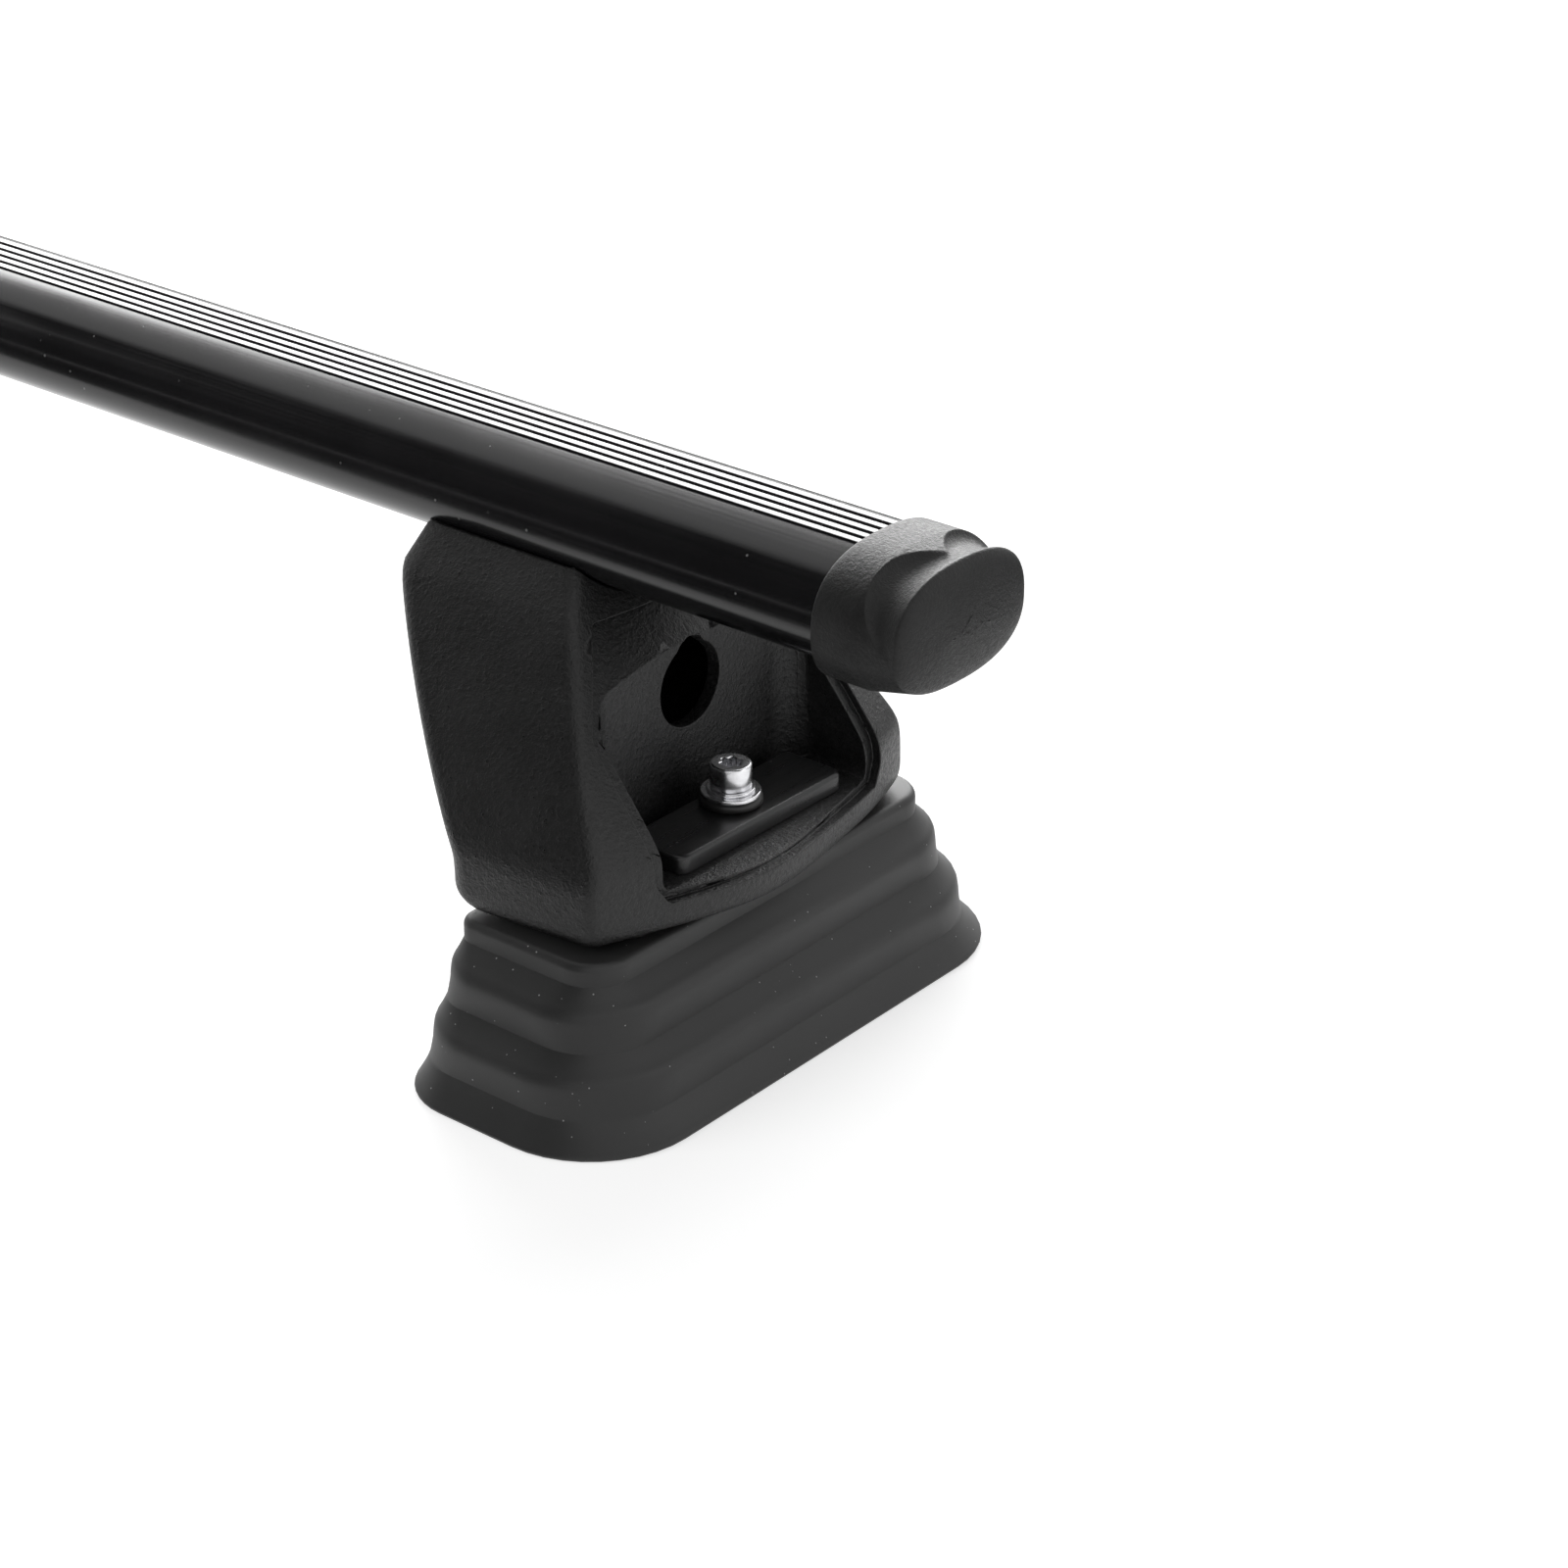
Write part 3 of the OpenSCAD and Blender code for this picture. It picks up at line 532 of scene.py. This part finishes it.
head = [(3.0, 36.15), (3.0, HEAD_Z), (4.7, HEAD_Z), (4.9, HEAD_Z + 0.06), (5.0, HEAD_Z + 0.3),
        (5.0, HEAD_TOP - 0.6), (4.96, HEAD_TOP - 0.35), (4.82, HEAD_TOP - 0.12),
        (4.55, HEAD_TOP - 0.01), (4.3, HEAD_TOP), (3.2, HEAD_TOP), (2.95, HEAD_TOP - 0.03),
        (2.75, HEAD_TOP - 0.2), (2.72, HEAD_TOP - 0.6), (2.7, SOCKET_FLOOR),
        (1.2, SOCKET_FLOOR - 0.1)]
thread = [(1.9, 5.15), (2.0, 5.15), (2.7, 5.9)]
for turn in range(23):
    z = 6.4 + turn
    thread += [(2.7, z), (2.46, z + 0.35), (2.46, z + 0.5), (2.7, z + 0.85)]
scallop = [0] * (len(thread) + 9) + [0, 0.03, 0.10, 0.13, 0.13, 0.13, 0]
bolt_rings = turned(thread + head, 144, scallop)
plate_surface = plate_rings()
washers = (
    ("lock_washer", "lock_ring", rounded_washer(5.8, 3.2, LOCK_Z, 0.8, 0.25), "washer_zinc"),
    ("flat_washer", "flat_ring", rounded_washer(7.2, 3.2, FLAT_Z, 1.2, 0.3), "washer_zinc"),
    ("retaining_washer", "retainer_ring", rounded_washer(7.65, 3.05, PLATE_TOP, 2.2, 0.8),
     "retainer_rubber"))
for word, sign in SIDES:
    foot, left = "foot_" + word, sign < 0
    plate = grid_piece("plate_slab_" + word, plate_surface, "plate_black", foot,
                       ends="loop", mirrored=left)
    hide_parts("clamp_plate_" + word)
    bolt = grid_piece("bolt_turned_" + word, bolt_rings, "bolt_zinc", "fixing_" + word,
                      sharp=40, mirrored=left)
    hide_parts("fixing_bolt_" + word)
    for node, name, profile, finish in washers:
        washer = grid_piece(name + "_" + word, turned(profile), finish, foot,
                            ends="loop", mirrored=left)
        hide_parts(node + "_" + word)
print("bolt rings:", len(bolt_rings))

# %% [markdown]
# The housing is the big moulding that leans in over the roof. Seen from above it is a box with a
# bowed front; going up, its front and back lean inwards and its sides close in. So the body is a
# stack of plan outlines. The front swells once more low down, round the bolt, and that swelling
# gives the curved sill under the clamp plate its form.

# %% Housing: body
HOUSING_Z, KNEE_Z, SHOULDER_Z, LIP_Z = 42.5, 59.8, 106.5, 114.0
BOTTOM_ROUND = 5.0      # height of the rounding under the body
NOSE_X, HEEL_X, SIDE_Y = 18.9, 35.3, 57.2
BOW = 0.0036            # mm behind the nose for each square mm to the side
POCKET_BACK, POCKET_Y, SEAT_Y, SEAT_DEPTH, SILL_SLOPE = 12.2, 37.6, 41.4, 2.6, 0.19


def ramp(t, soft=3.0):
    """Half of t plus the root of t squared and soft squared: 0 far below zero, t far above it."""
    return (t + np.sqrt(t * t + soft * soft)) / 2


def front_at(z):
    """The nose leans back by 0.83 mm for each mm above the knee."""
    return NOSE_X - 0.83 * ramp(z - KNEE_Z)


def back_at(z):
    """The heel leans back by 0.82 from a little below the knee, up to a limit near the lips."""
    lean = HEEL_X + 0.82 * ramp(z - KNEE_Z + 5)
    limit = HEEL_X + 0.82 * (LIP_Z - 4 - KNEE_Z)
    return -(lean - ramp(lean - limit, 1.5))


def side_at(z):
    """Half the width: it closes in by 0.4 for each mm above the knee, and by a growing square."""
    t = ramp(z - KNEE_Z + 3)
    return SIDE_Y - 0.4 * t - 0.0034 * t * t


def swelling(y, z):
    """2.8 mm x the squared cosine of the way across 38 mm either side of y = -12, fading out above."""
    across = np.clip((y + 12) / 38, -1, 1)
    return 2.8 * np.cos(np.pi / 2 * across) ** 2 * np.clip((76 - z) / 18, 0, 1)


def body_ring(z, set_back=0.0, bottom=0.0):
    """Plan outline at a height: its front lies BOW x y squared behind the nose, its corners are
    round; over is the share of the slope from the shoulder to the lips."""
    over = max(0.0, z - SHOULDER_Z) / (LIP_Z - SHOULDER_Z)
    w = side_at(min(z, SHOULDER_Z)) * (1 - over) + 22.1 * over - 0.33 * bottom
    w_back = w + 4 * (1 - 0.1 * (z - HOUSING_Z) / (LIP_Z - HOUSING_Z)) * (1 - over)
    x_front = front_at(z) - set_back - 0.33 * bottom
    x_back = back_at(z) + bottom
    y = np.linspace(-w + 5.5, w - 5.5, 49)
    bow = np.column_stack([x_front + swelling(y, z) - BOW * y * y, y])
    edge = x_front - BOW * w * w
    corners = [(edge, -w), bow[0], bow[-1], (edge, w), (x_back, w_back), (x_back, -w_back)]
    corner = rounded_ring(corners, [4, 0, 0, 4, 7, 7], 8).reshape(6, 9, 2)
    ring = np.vstack([corner[0], bow, corner[3], corner[4], corner[5]])
    return np.column_stack([ring, np.full(len(ring), z)])


def body_rings(set_back=0.0):
    """Rounded foot, leaning tower and the short slope up to the cradle's lips."""
    rows = [body_ring(HOUSING_Z + BOTTOM_ROUND * (1 - np.cos(k)), set_back,
                      BOTTOM_ROUND * (1 - np.sin(k))) for k in np.radians(np.arange(0, 90, 10))]
    levels = np.concatenate([np.linspace(HOUSING_Z + BOTTOM_ROUND, 72, 26),
                             np.linspace(74, SHOULDER_Z, 19), [LIP_Z]])
    return np.stack(rows + [body_ring(z, set_back) for z in levels])


print("points round the body:", body_rings().shape)

# %% [markdown]
# Into that body go the moulding's openings: a shallow seat for the cover with a sill that slopes
# down from the plate, the deep pocket, the tool hole with its small upper lobe, the cradle for the
# profile, the hollow behind the pocket and the bolt holes. Each is a closed tool made from a ring
# of points, and Boolean modifiers cut it out, as the mould's cores do.

# %% Housing: cores
SADDLE_GAP = 0.3
CLAMP_HOLE, CLAMP_X = 3.3, (-52, -32)
MOUTH_FOOT, MOUTH_DRAFT, MOUTH_SHOULDER_Z, MOUTH_TOP_Z = 3.3, 1.2, 83.5, 103.9
PLATE_EDGE, BEYOND = 12.2, 60.0      # x where the sill begins, and a place outside the front
HOLLOW_WALL_BACK, HOLLOW_WALL_SIDE = 3.75, 4.5


def core(name, rings):
    """Closed solid through rings in millimetres, used as a cutting tool only."""
    placed = np.asarray(rings, float) + [FOOT_X, 0, 0]
    tool = grid_piece(name, placed, "housing_plastic", "foot_right")
    PIECES["housing_plastic"].remove(tool)
    return tool


def along_axis(outline, axis, low, high):
    """Prism of a flat outline between two places on the axis x or z."""
    order = [2, 0, 1] if axis == "x" else [0, 1, 2]
    return [np.column_stack([outline, np.full(len(outline), place)])[:, order]
            for place in (low, high)]


def mouth(w, low, top_y):
    """Front outline of seat or pocket: narrow foot, straight sides, slanting shoulders."""
    half = [(w - MOUTH_FOOT, low), (w, low + MOUTH_FOOT * 1.5),
            (w - MOUTH_DRAFT, MOUTH_SHOULDER_Z), (top_y, MOUTH_TOP_Z)]
    return rounded_ring(half + [(-y, z) for y, z in half[::-1]], [2, 4, 6, 2, 2, 6, 4, 2], 8)


def circle(r, steps, x=0.0):
    """Points of a circle of radius r about (x, 0)."""
    t = np.linspace(0, 2 * np.pi, steps, endpoint=False)
    return np.column_stack([x + r * np.cos(t), r * np.sin(t)])


def keyhole():
    """Union of two circles seen from a point inside both: the farther crossing of each ray."""
    t = np.linspace(0, 2 * np.pi, 96, endpoint=False)
    reach = [np.sin(t) * rise + np.sqrt(r * r - (np.cos(t) * rise) ** 2)
             for rise, r in ((-1.6, 10.5), (4.9, 5.5))]
    far = np.maximum(*reach)
    return np.column_stack([far * np.cos(t), 84 + far * np.sin(t)])


def cut(piece, tool, kind="DIFFERENCE"):
    """Applies one Boolean: the piece's mesh becomes the result and the tool is thrown away."""
    step = piece.modifiers.new(tool.name, "BOOLEAN")
    step.operation, step.solver, step.object = kind, "MANIFOLD", tool
    graph = bpy.context.evaluated_depsgraph_get()
    made = bpy.data.meshes.new_from_object(piece.evaluated_get(graph))
    piece.modifiers.clear()
    piece.data = made
    bpy.data.objects.remove(tool)


def box_ring(x0, x1, w, r):
    """Rounded rectangle from x0 to x1, as far to each side as w."""
    return rounded_ring([(x1, -w), (x1, w), (x0, w), (x0, -w)], [r] * 4, 4)


def hollow_rings():
    """Room behind the pocket, which leans with the housing and stays a wall inside it."""
    rows = []
    for z in (41.0, 47.5, 56.4, 62.7, 74.7, 87.8, 99.8):
        level = max(z, HOUSING_Z + BOTTOM_ROUND)
        ring = box_ring(back_at(level) + HOLLOW_WALL_BACK, min(-16.0, front_at(level) - 10),
                        side_at(level) - HOLLOW_WALL_SIDE, 3)
        rows.append(np.column_stack([ring, np.full(len(ring), z)]))
    return rows


body = core("housing_skin", body_rings())
set_back = core("seat_back", body_rings(SEAT_DEPTH))
sill_drop = (BEYOND - PLATE_EDGE) * SILL_SLOPE
wedge = [(PLATE_EDGE, FLOOR_Z), (BEYOND, FLOOR_Z - sill_drop),
         (BEYOND, FLOOR_Z + 4), (PLATE_EDGE, FLOOR_Z + 4)]
cut(set_back, core("sill", [[(x, y, z) for x, z in wedge] for y in (-39.0, 39.0)]))
seat = core("seat", along_axis(mouth(SEAT_Y, FLOOR_Z - 1.9, 25), "x", -50, 50))
cut(seat, set_back)
cut(body, seat)
pocket = core("pocket", along_axis(mouth(POCKET_Y, FLOOR_Z - 3.3, 21), "x", -50, 50))
plan = rounded_ring([(-POCKET_BACK, -POCKET_Y), (50, -POCKET_Y),
                     (50, POCKET_Y), (-POCKET_BACK, POCKET_Y)], [9, 0, 0, 9], 10)
cut(pocket, core("pocket_plan", along_axis(plan, "z", FLOOR_Z, 120)), "INTERSECT")
cut(body, pocket)
cut(body, core("tool_hole", along_axis(keyhole(), "x", -POCKET_BACK - 9, 0)))
cut(body, core("hollow", hollow_rings()))
spigot = np.column_stack([box_ring(-15, 9, 46, 5), np.zeros(20)])
cut(body, core("spigot", [spigot + [0, 0, 40.5], spigot + [0, 0, 43.5]]), "UNION")
saddle = oval(HALF_W + SADDLE_GAP, CROWN + SADDLE_GAP, BELLY + SADDLE_GAP, SQUARENESS,
              np.linspace(0, 2 * np.pi, 160, endpoint=False)) + [0, AXIS_Z]
cut(body, core("cradle", along_axis(saddle, "x", -100, 50)))
cut(body, core("bolt_hole", along_axis(circle(BOLT_HOLE, 48), "z", 39, 53)))
for x in CLAMP_X:
    cut(body, core("clamp_hole", along_axis(circle(CLAMP_HOLE, 48, x), "z", 98, 112)))
print("housing faces:", len(body.data.polygons))

# %% [markdown]
# A mould has no knife edges. Where two faces meet at more than 28 degrees the edge is rounded by a
# bevel of two segments, which gives the thin bright lines round the seat and the pocket. The left
# housing is the same surface mirrored, with its faces turned round.

# %% Housing: both shells
SHARP = np.radians(28)


def finish_shell(word, sign):
    """Copy of the cut body; small slivers are merged, flat fans dissolved, edges bevelled."""
    mesh = body.data.copy()
    mesh.name = "housing_shell_" + word
    skin = bmesh.new()
    skin.from_mesh(mesh)
    bmesh.ops.remove_doubles(skin, verts=skin.verts, dist=2e-5)
    bmesh.ops.dissolve_limit(skin, angle_limit=np.radians(0.05), verts=skin.verts, edges=skin.edges)
    if sign < 0:
        bmesh.ops.scale(skin, vec=MIRROR_X, verts=skin.verts)
        bmesh.ops.reverse_faces(skin, faces=skin.faces)
    skin.to_mesh(mesh)
    skin.free()
    mesh.materials.clear()
    piece = bpy.data.objects.new(mesh.name, mesh)
    bpy.context.collection.objects.link(piece)
    mesh.shade_smooth()
    mesh.set_sharp_from_angle(angle=SHARP)
    round_edges = piece.modifiers.new("mould_radii", "BEVEL")
    round_edges.width = 0.00035
    round_edges.segments = 2
    round_edges.limit_method = "ANGLE"
    round_edges.angle_limit = SHARP
    round_edges.use_clamp_overlap = False
    round_edges.harden_normals = True
    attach(piece, "foot_" + word)
    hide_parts("foot_housing_" + word)
    PIECES["housing_plastic"].append(piece)
    return piece


for word, sign in SIDES:
    print(finish_shell(word, sign).name)
bpy.data.objects.remove(body)

# %% [markdown]
# Finishes. The profile is black anodised and polished: nearly no colour of its own, a smooth sheen,
# and hair-fine die lines along its length, which come from a noise pattern stretched along X.

# %% Finish of the profile
def stretched(tree, where, scale):
    """Object coordinates multiplied by a scale for each axis."""
    node = tree.nodes.new("ShaderNodeMapping")
    node.vector_type = "POINT"
    node.inputs["Scale"].default_value = scale
    tree.links.new(where, node.inputs["Vector"])
    return node.outputs["Vector"]


BAR_TONE, PLATE_TONE = (0.007, 0.007, 0.0075), (0.012, 0.012, 0.0125)
bar_black, tree, shader, where = new_finish("bar_black", BAR_TONE, 0.2)
die_lines = noise(tree, stretched(tree, where, (6, 2600, 2600)), 1.0, 2.0)
clouds = noise(tree, where, 22.0, 2.0)
tree.links.new(spread(tree, join(tree, "MULTIPLY", die_lines, clouds), 0.12, 0.4, 0.15, 0.27),
               shader.inputs["Roughness"])
specks = dust(tree, where, 420.0, 0.05)
tree.links.new(grey(tree, specks, BAR_TONE, (0.16, 0.16, 0.16)), shader.inputs["Base Color"])
bump(tree, shader, die_lines, 0.000004)

# %% [markdown]
# Cap and housing are black plastic from spark-eroded moulds. The grain is a noise relief: coarse on
# the housing, finer on the cap. Where a highlight falls on it, the grain breaks it up.

# %% Finishes of the plastics
def eroded_plastic(name, colour, roughness, grain, depth, glints, shine):
    """Two noise sizes added give the grain; its peaks are a little smoother than its valleys."""
    finish, tree, shader, where = new_finish(name, colour, roughness, shine)
    coarse = noise(tree, where, grain, 3.0, 0.6)
    fine = noise(tree, where, grain * 2.7, 2.0, 0.6)
    height = join(tree, "ADD", join(tree, "MULTIPLY", coarse, 0.65),
                  join(tree, "MULTIPLY", fine, 0.35))
    tree.links.new(spread(tree, height, 0.35, 0.65, roughness + glints, roughness - glints),
                   shader.inputs["Roughness"])
    wear = noise(tree, where, 60.0, 3.0)
    brighter = tuple(1.7 * c for c in colour)
    tree.links.new(grey(tree, spread(tree, wear, 0.4, 0.7, 0.0, 1.0), colour, brighter),
                   shader.inputs["Base Color"])
    bump(tree, shader, height, depth)
    return finish


cap_plastic = eroded_plastic("cap_plastic", (0.016, 0.016, 0.016), 0.42,
                             grain=1100.0, depth=0.0003, glints=0.12, shine=0.22)
housing_plastic = eroded_plastic("housing_plastic", (0.008, 0.008, 0.008), 0.4,
                                 grain=800.0, depth=0.0005, glints=0.14, shine=0.42)

# %% [markdown]
# The boot is soft black rubber. It is matte, slightly cloudy where the mould let go, and it picks up
# dust: fine pale specks that sit on the folds. The retaining washer and the roof pad are kin to it.

# %% Finishes of the rubbers
def rubber(name, colour, roughness, dusty):
    """Cloudy roughness, a faint skin relief and specks of dust."""
    finish, tree, shader, where = new_finish(name, colour, roughness, 0.45)
    clouds = noise(tree, where, 26.0, 4.0)
    skin = noise(tree, where, 1700.0, 2.0)
    tree.links.new(spread(tree, clouds, 0.3, 0.7, roughness - 0.06, roughness + 0.06),
                   shader.inputs["Roughness"])
    shade = grey(tree, spread(tree, clouds, 0.3, 0.7, 0.0, 1.0), colour,
                 tuple(1.35 * c for c in colour))
    tone = tree.nodes.new("ShaderNodeMix")
    tone.data_type = "RGBA"
    tree.links.new(shade, tone.inputs["A"])
    tone.inputs["B"].default_value = (0.32, 0.32, 0.32, 1)
    small, large = dust(tree, where, 700.0, dusty), dust(tree, where, 300.0, dusty * 0.4)
    tree.links.new(join(tree, "MAXIMUM", small, large), tone.inputs["Factor"])
    tree.links.new(tone.outputs["Result"], shader.inputs["Base Color"])
    bump(tree, shader, skin, 0.000018)
    return finish


boot_rubber = rubber("boot_rubber", (0.021, 0.021, 0.021), 0.5, 0.06)
retainer_rubber = rubber("retainer_rubber", (0.012, 0.012, 0.012), 0.4, 0.02)
pad_rubber = rubber("pad_rubber", (0.03, 0.03, 0.03), 0.6, 0.03)

# %% [markdown]
# The clamp plate is painted steel with a satin skin. Bolt and washers are bright zinc: metallic,
# with a light tumble texture that keeps the reflections lively. The clamps inside are duller zinc,
# and the support block is a die casting.

# %% Finishes of the metal parts
plate_black, tree, shader, where = new_finish("plate_black", PLATE_TONE, 0.3)
orange_peel = noise(tree, where, 420.0, 2.0)
scuffs = noise(tree, stretched(tree, where, (900, 60, 900)), 1.0, 3.0)
tree.links.new(spread(tree, scuffs, 0.35, 0.7, 0.27, 0.4), shader.inputs["Roughness"])
specks = dust(tree, where, 500.0, 0.04)
tree.links.new(grey(tree, specks, PLATE_TONE, (0.2, 0.2, 0.2)), shader.inputs["Base Color"])
bump(tree, shader, orange_peel, 0.00002)


def plated(name, colour, roughness, relief):
    """Metal whose roughness and height both follow a fine tumbled noise."""
    finish, tree, shader, where = new_finish(name, colour, roughness, 0.5, 1.0)
    tumble = noise(tree, where, 1300.0, 3.0)
    stain = noise(tree, where, 180.0, 3.0)
    tree.links.new(spread(tree, stain, 0.3, 0.7, roughness - 0.06, roughness + 0.1),
                   shader.inputs["Roughness"])
    tree.links.new(grey(tree, spread(tree, stain, 0.35, 0.75, 0.0, 1.0), colour,
                        tuple(0.72 * c for c in colour)), shader.inputs["Base Color"])
    bump(tree, shader, tumble, relief)
    return finish


bolt_zinc = plated("bolt_zinc", (0.82, 0.82, 0.84), 0.2, 0.000004)
washer_zinc = plated("washer_zinc", (0.78, 0.78, 0.80), 0.22, 0.000004)
clamp_steel = plated("clamp_steel", (0.6, 0.6, 0.62), 0.35, 0.00002)
block_metal = plated("block_metal", (0.5, 0.5, 0.52), 0.5, 0.00005)

# %% [markdown]
# New pieces get their finish by the slot they were made for. The hidden inner parts keep the solid's
# own mesh, and the finish goes into the slots of their objects.

# %% Dress every piece
FINISHES = {"bar_black": bar_black, "cap_plastic": cap_plastic, "housing_plastic": housing_plastic,
            "boot_rubber": boot_rubber, "retainer_rubber": retainer_rubber, "pad_rubber": pad_rubber,
            "plate_black": plate_black, "bolt_zinc": bolt_zinc, "washer_zinc": washer_zinc,
            "clamp_steel": clamp_steel, "block_metal": block_metal}
INNER = {"support_block": "block_metal", "roof_pad": "pad_rubber", "bar_clamp_bolts": "clamp_steel",
         "bar_clamp_washers": "clamp_steel", "bar_clamp_nuts": "clamp_steel"}
for slot, pieces in PIECES.items():
    for piece in pieces:
        piece.data.materials.append(FINISHES[slot])
for kind, slot in INNER.items():
    for word, _ in SIDES:
        for place in NODES[kind + "_" + word].material_slots:
            place.material = FINISHES[slot]
print("finishes:", len(FINISHES), "dressed pieces:", sum(len(p) for p in PIECES.values()))

# %% [markdown]
# The studio is a white floor that runs on to a white room. The floor's own colour gives part of the
# white and takes the object's shadow. The rest is a glow that only the camera, gloss and clear
# things see, so it adds no light to matte faces; it grows outwards, so that floor and room meet
# unseen. Three softboxes stand round the object: a rear one that makes the rib tops and the
# profile's shoulder white, one at the left that gloss doesn't see, for the boot, and one at the
# right for the pocket. Black cards, seen by gloss only, keep the near side of the profile dark.

# %% Studio
def seen_by(tree, *kinds):
    """1 for the named kinds of ray, 0 for the rest."""
    path = tree.nodes.new("ShaderNodeLightPath")
    total = path.outputs[kinds[0]]
    for kind in kinds[1:]:
        total = join(tree, "MAXIMUM", total, path.outputs[kind])
    return total


SEEN = ("Is Camera Ray", "Is Glossy Ray", "Is Transmission Ray")
floor_finish = bpy.data.materials.new("studio_floor")
floor_finish.use_nodes = True
tree = floor_finish.node_tree
tree.nodes.remove(tree.nodes["Principled BSDF"])
paper = tree.nodes.new("ShaderNodeBsdfDiffuse")
paper.inputs["Color"].default_value = (0.6, 0.6, 0.6, 1)
glow = tree.nodes.new("ShaderNodeEmission")
away = tree.nodes.new("ShaderNodeVectorMath")
away.operation = "LENGTH"
tree.links.new(tree.nodes.new("ShaderNodeTexCoord").outputs["Object"], away.inputs[0])
white = spread(tree, away.outputs["Value"], 1.4, 3.0, 0.66, 1.0)
tree.links.new(join(tree, "MULTIPLY", seen_by(tree, *SEEN), white), glow.inputs["Strength"])
both = tree.nodes.new("ShaderNodeAddShader")
tree.links.new(paper.outputs["BSDF"], both.inputs[0])
tree.links.new(glow.outputs["Emission"], both.inputs[1])
tree.links.new(both.outputs["Shader"], tree.nodes["Material Output"].inputs["Surface"])


def flat_sheet(name, centre, along, across, finish):
    """Flat sheet: centre plus and minus half of two edge vectors."""
    c, a, b = (np.array(v, float) for v in (centre, along, across))
    corners = [c - a / 2 - b / 2, c + a / 2 - b / 2, c + a / 2 + b / 2, c - a / 2 + b / 2]
    mesh = bpy.data.meshes.new(name)
    mesh.from_pydata([p.tolist() for p in corners], [], [[0, 1, 2, 3]])
    sheet = bpy.data.objects.new(name, mesh)
    bpy.context.collection.objects.link(sheet)
    mesh.materials.append(finish)
    return sheet


flat_sheet("studio_floor", (0, 0, -0.0003), (16, 0, 0), (0, 16, 0), floor_finish)

card_black = new_finish("card_black", (0.01, 0.01, 0.01), 0.9, 0.1)[0]
for name, centre, along, across in (
        ("card_low_left", (-0.4, -0.72, 0.004), (2.8, 0, 0), (0, 1.04, 0)),
        ("card_low_right", (-0.4, 0.75, 0.004), (2.8, 0, 0), (0, 1.0, 0)),
        ("card_tall_left", (-0.8, -1.95, 1.0), (3.6, 0, 0), (0, 0, 2.2)),
        ("card_over", (-0.8, -1.25, 2.1), (3.6, 0, 0), (0, 1.4, 0))):
    card = flat_sheet(name, centre, along, across, card_black)
    card.visible_camera = False
    card.visible_diffuse = False
    card.visible_shadow = False
    card.visible_transmission = False


def softbox(name, place, target, width, height, radiance):
    """Area lamp whose power is radiance x pi x area, turned so that its back points away."""
    lamp = bpy.data.lights.new(name, "AREA")
    lamp.shape = "RECTANGLE"
    lamp.size, lamp.size_y = width, height
    lamp.energy = radiance * np.pi * width * height
    box = bpy.data.objects.new(name, lamp)
    bpy.context.collection.objects.link(box)
    back = np.array(place, float) - np.array(target, float)
    back /= np.linalg.norm(back)
    side = np.cross((0, 0, 1), back)
    side /= np.linalg.norm(side)
    turn = np.eye(4)
    turn[:3, 0], turn[:3, 1], turn[:3, 2], turn[:3, 3] = side, np.cross(back, side), back, place
    box.matrix_world = Matrix(turn.tolist())
    return box


softbox("softbox_rear", (-0.9, 1.6, 1.0), (0.45, 0, 0.1), 2.4, 1.25, 8.5)
softbox("softbox_left", (-0.3, -1.5, 1.0), (0.5, 0, 0.05), 1.4, 1.0, 3.0).visible_glossy = False
softbox("softbox_right", (2.1, 0.6, 1.0), (0.55, 0, 0.08), 1.0, 0.8, 0.9)

world = bpy.data.worlds.new("studio_room")
bpy.context.scene.world = world
world.use_nodes = True
tree = world.node_tree
room = tree.nodes["Background"]
room.inputs["Color"].default_value = (1, 1, 1, 1)
tree.links.new(spread(tree, seen_by(tree, *SEEN), 0, 1, 0.3, 1.0), room.inputs["Strength"])
bpy.context.scene.view_settings.view_transform = "Standard"
print("studio ready")
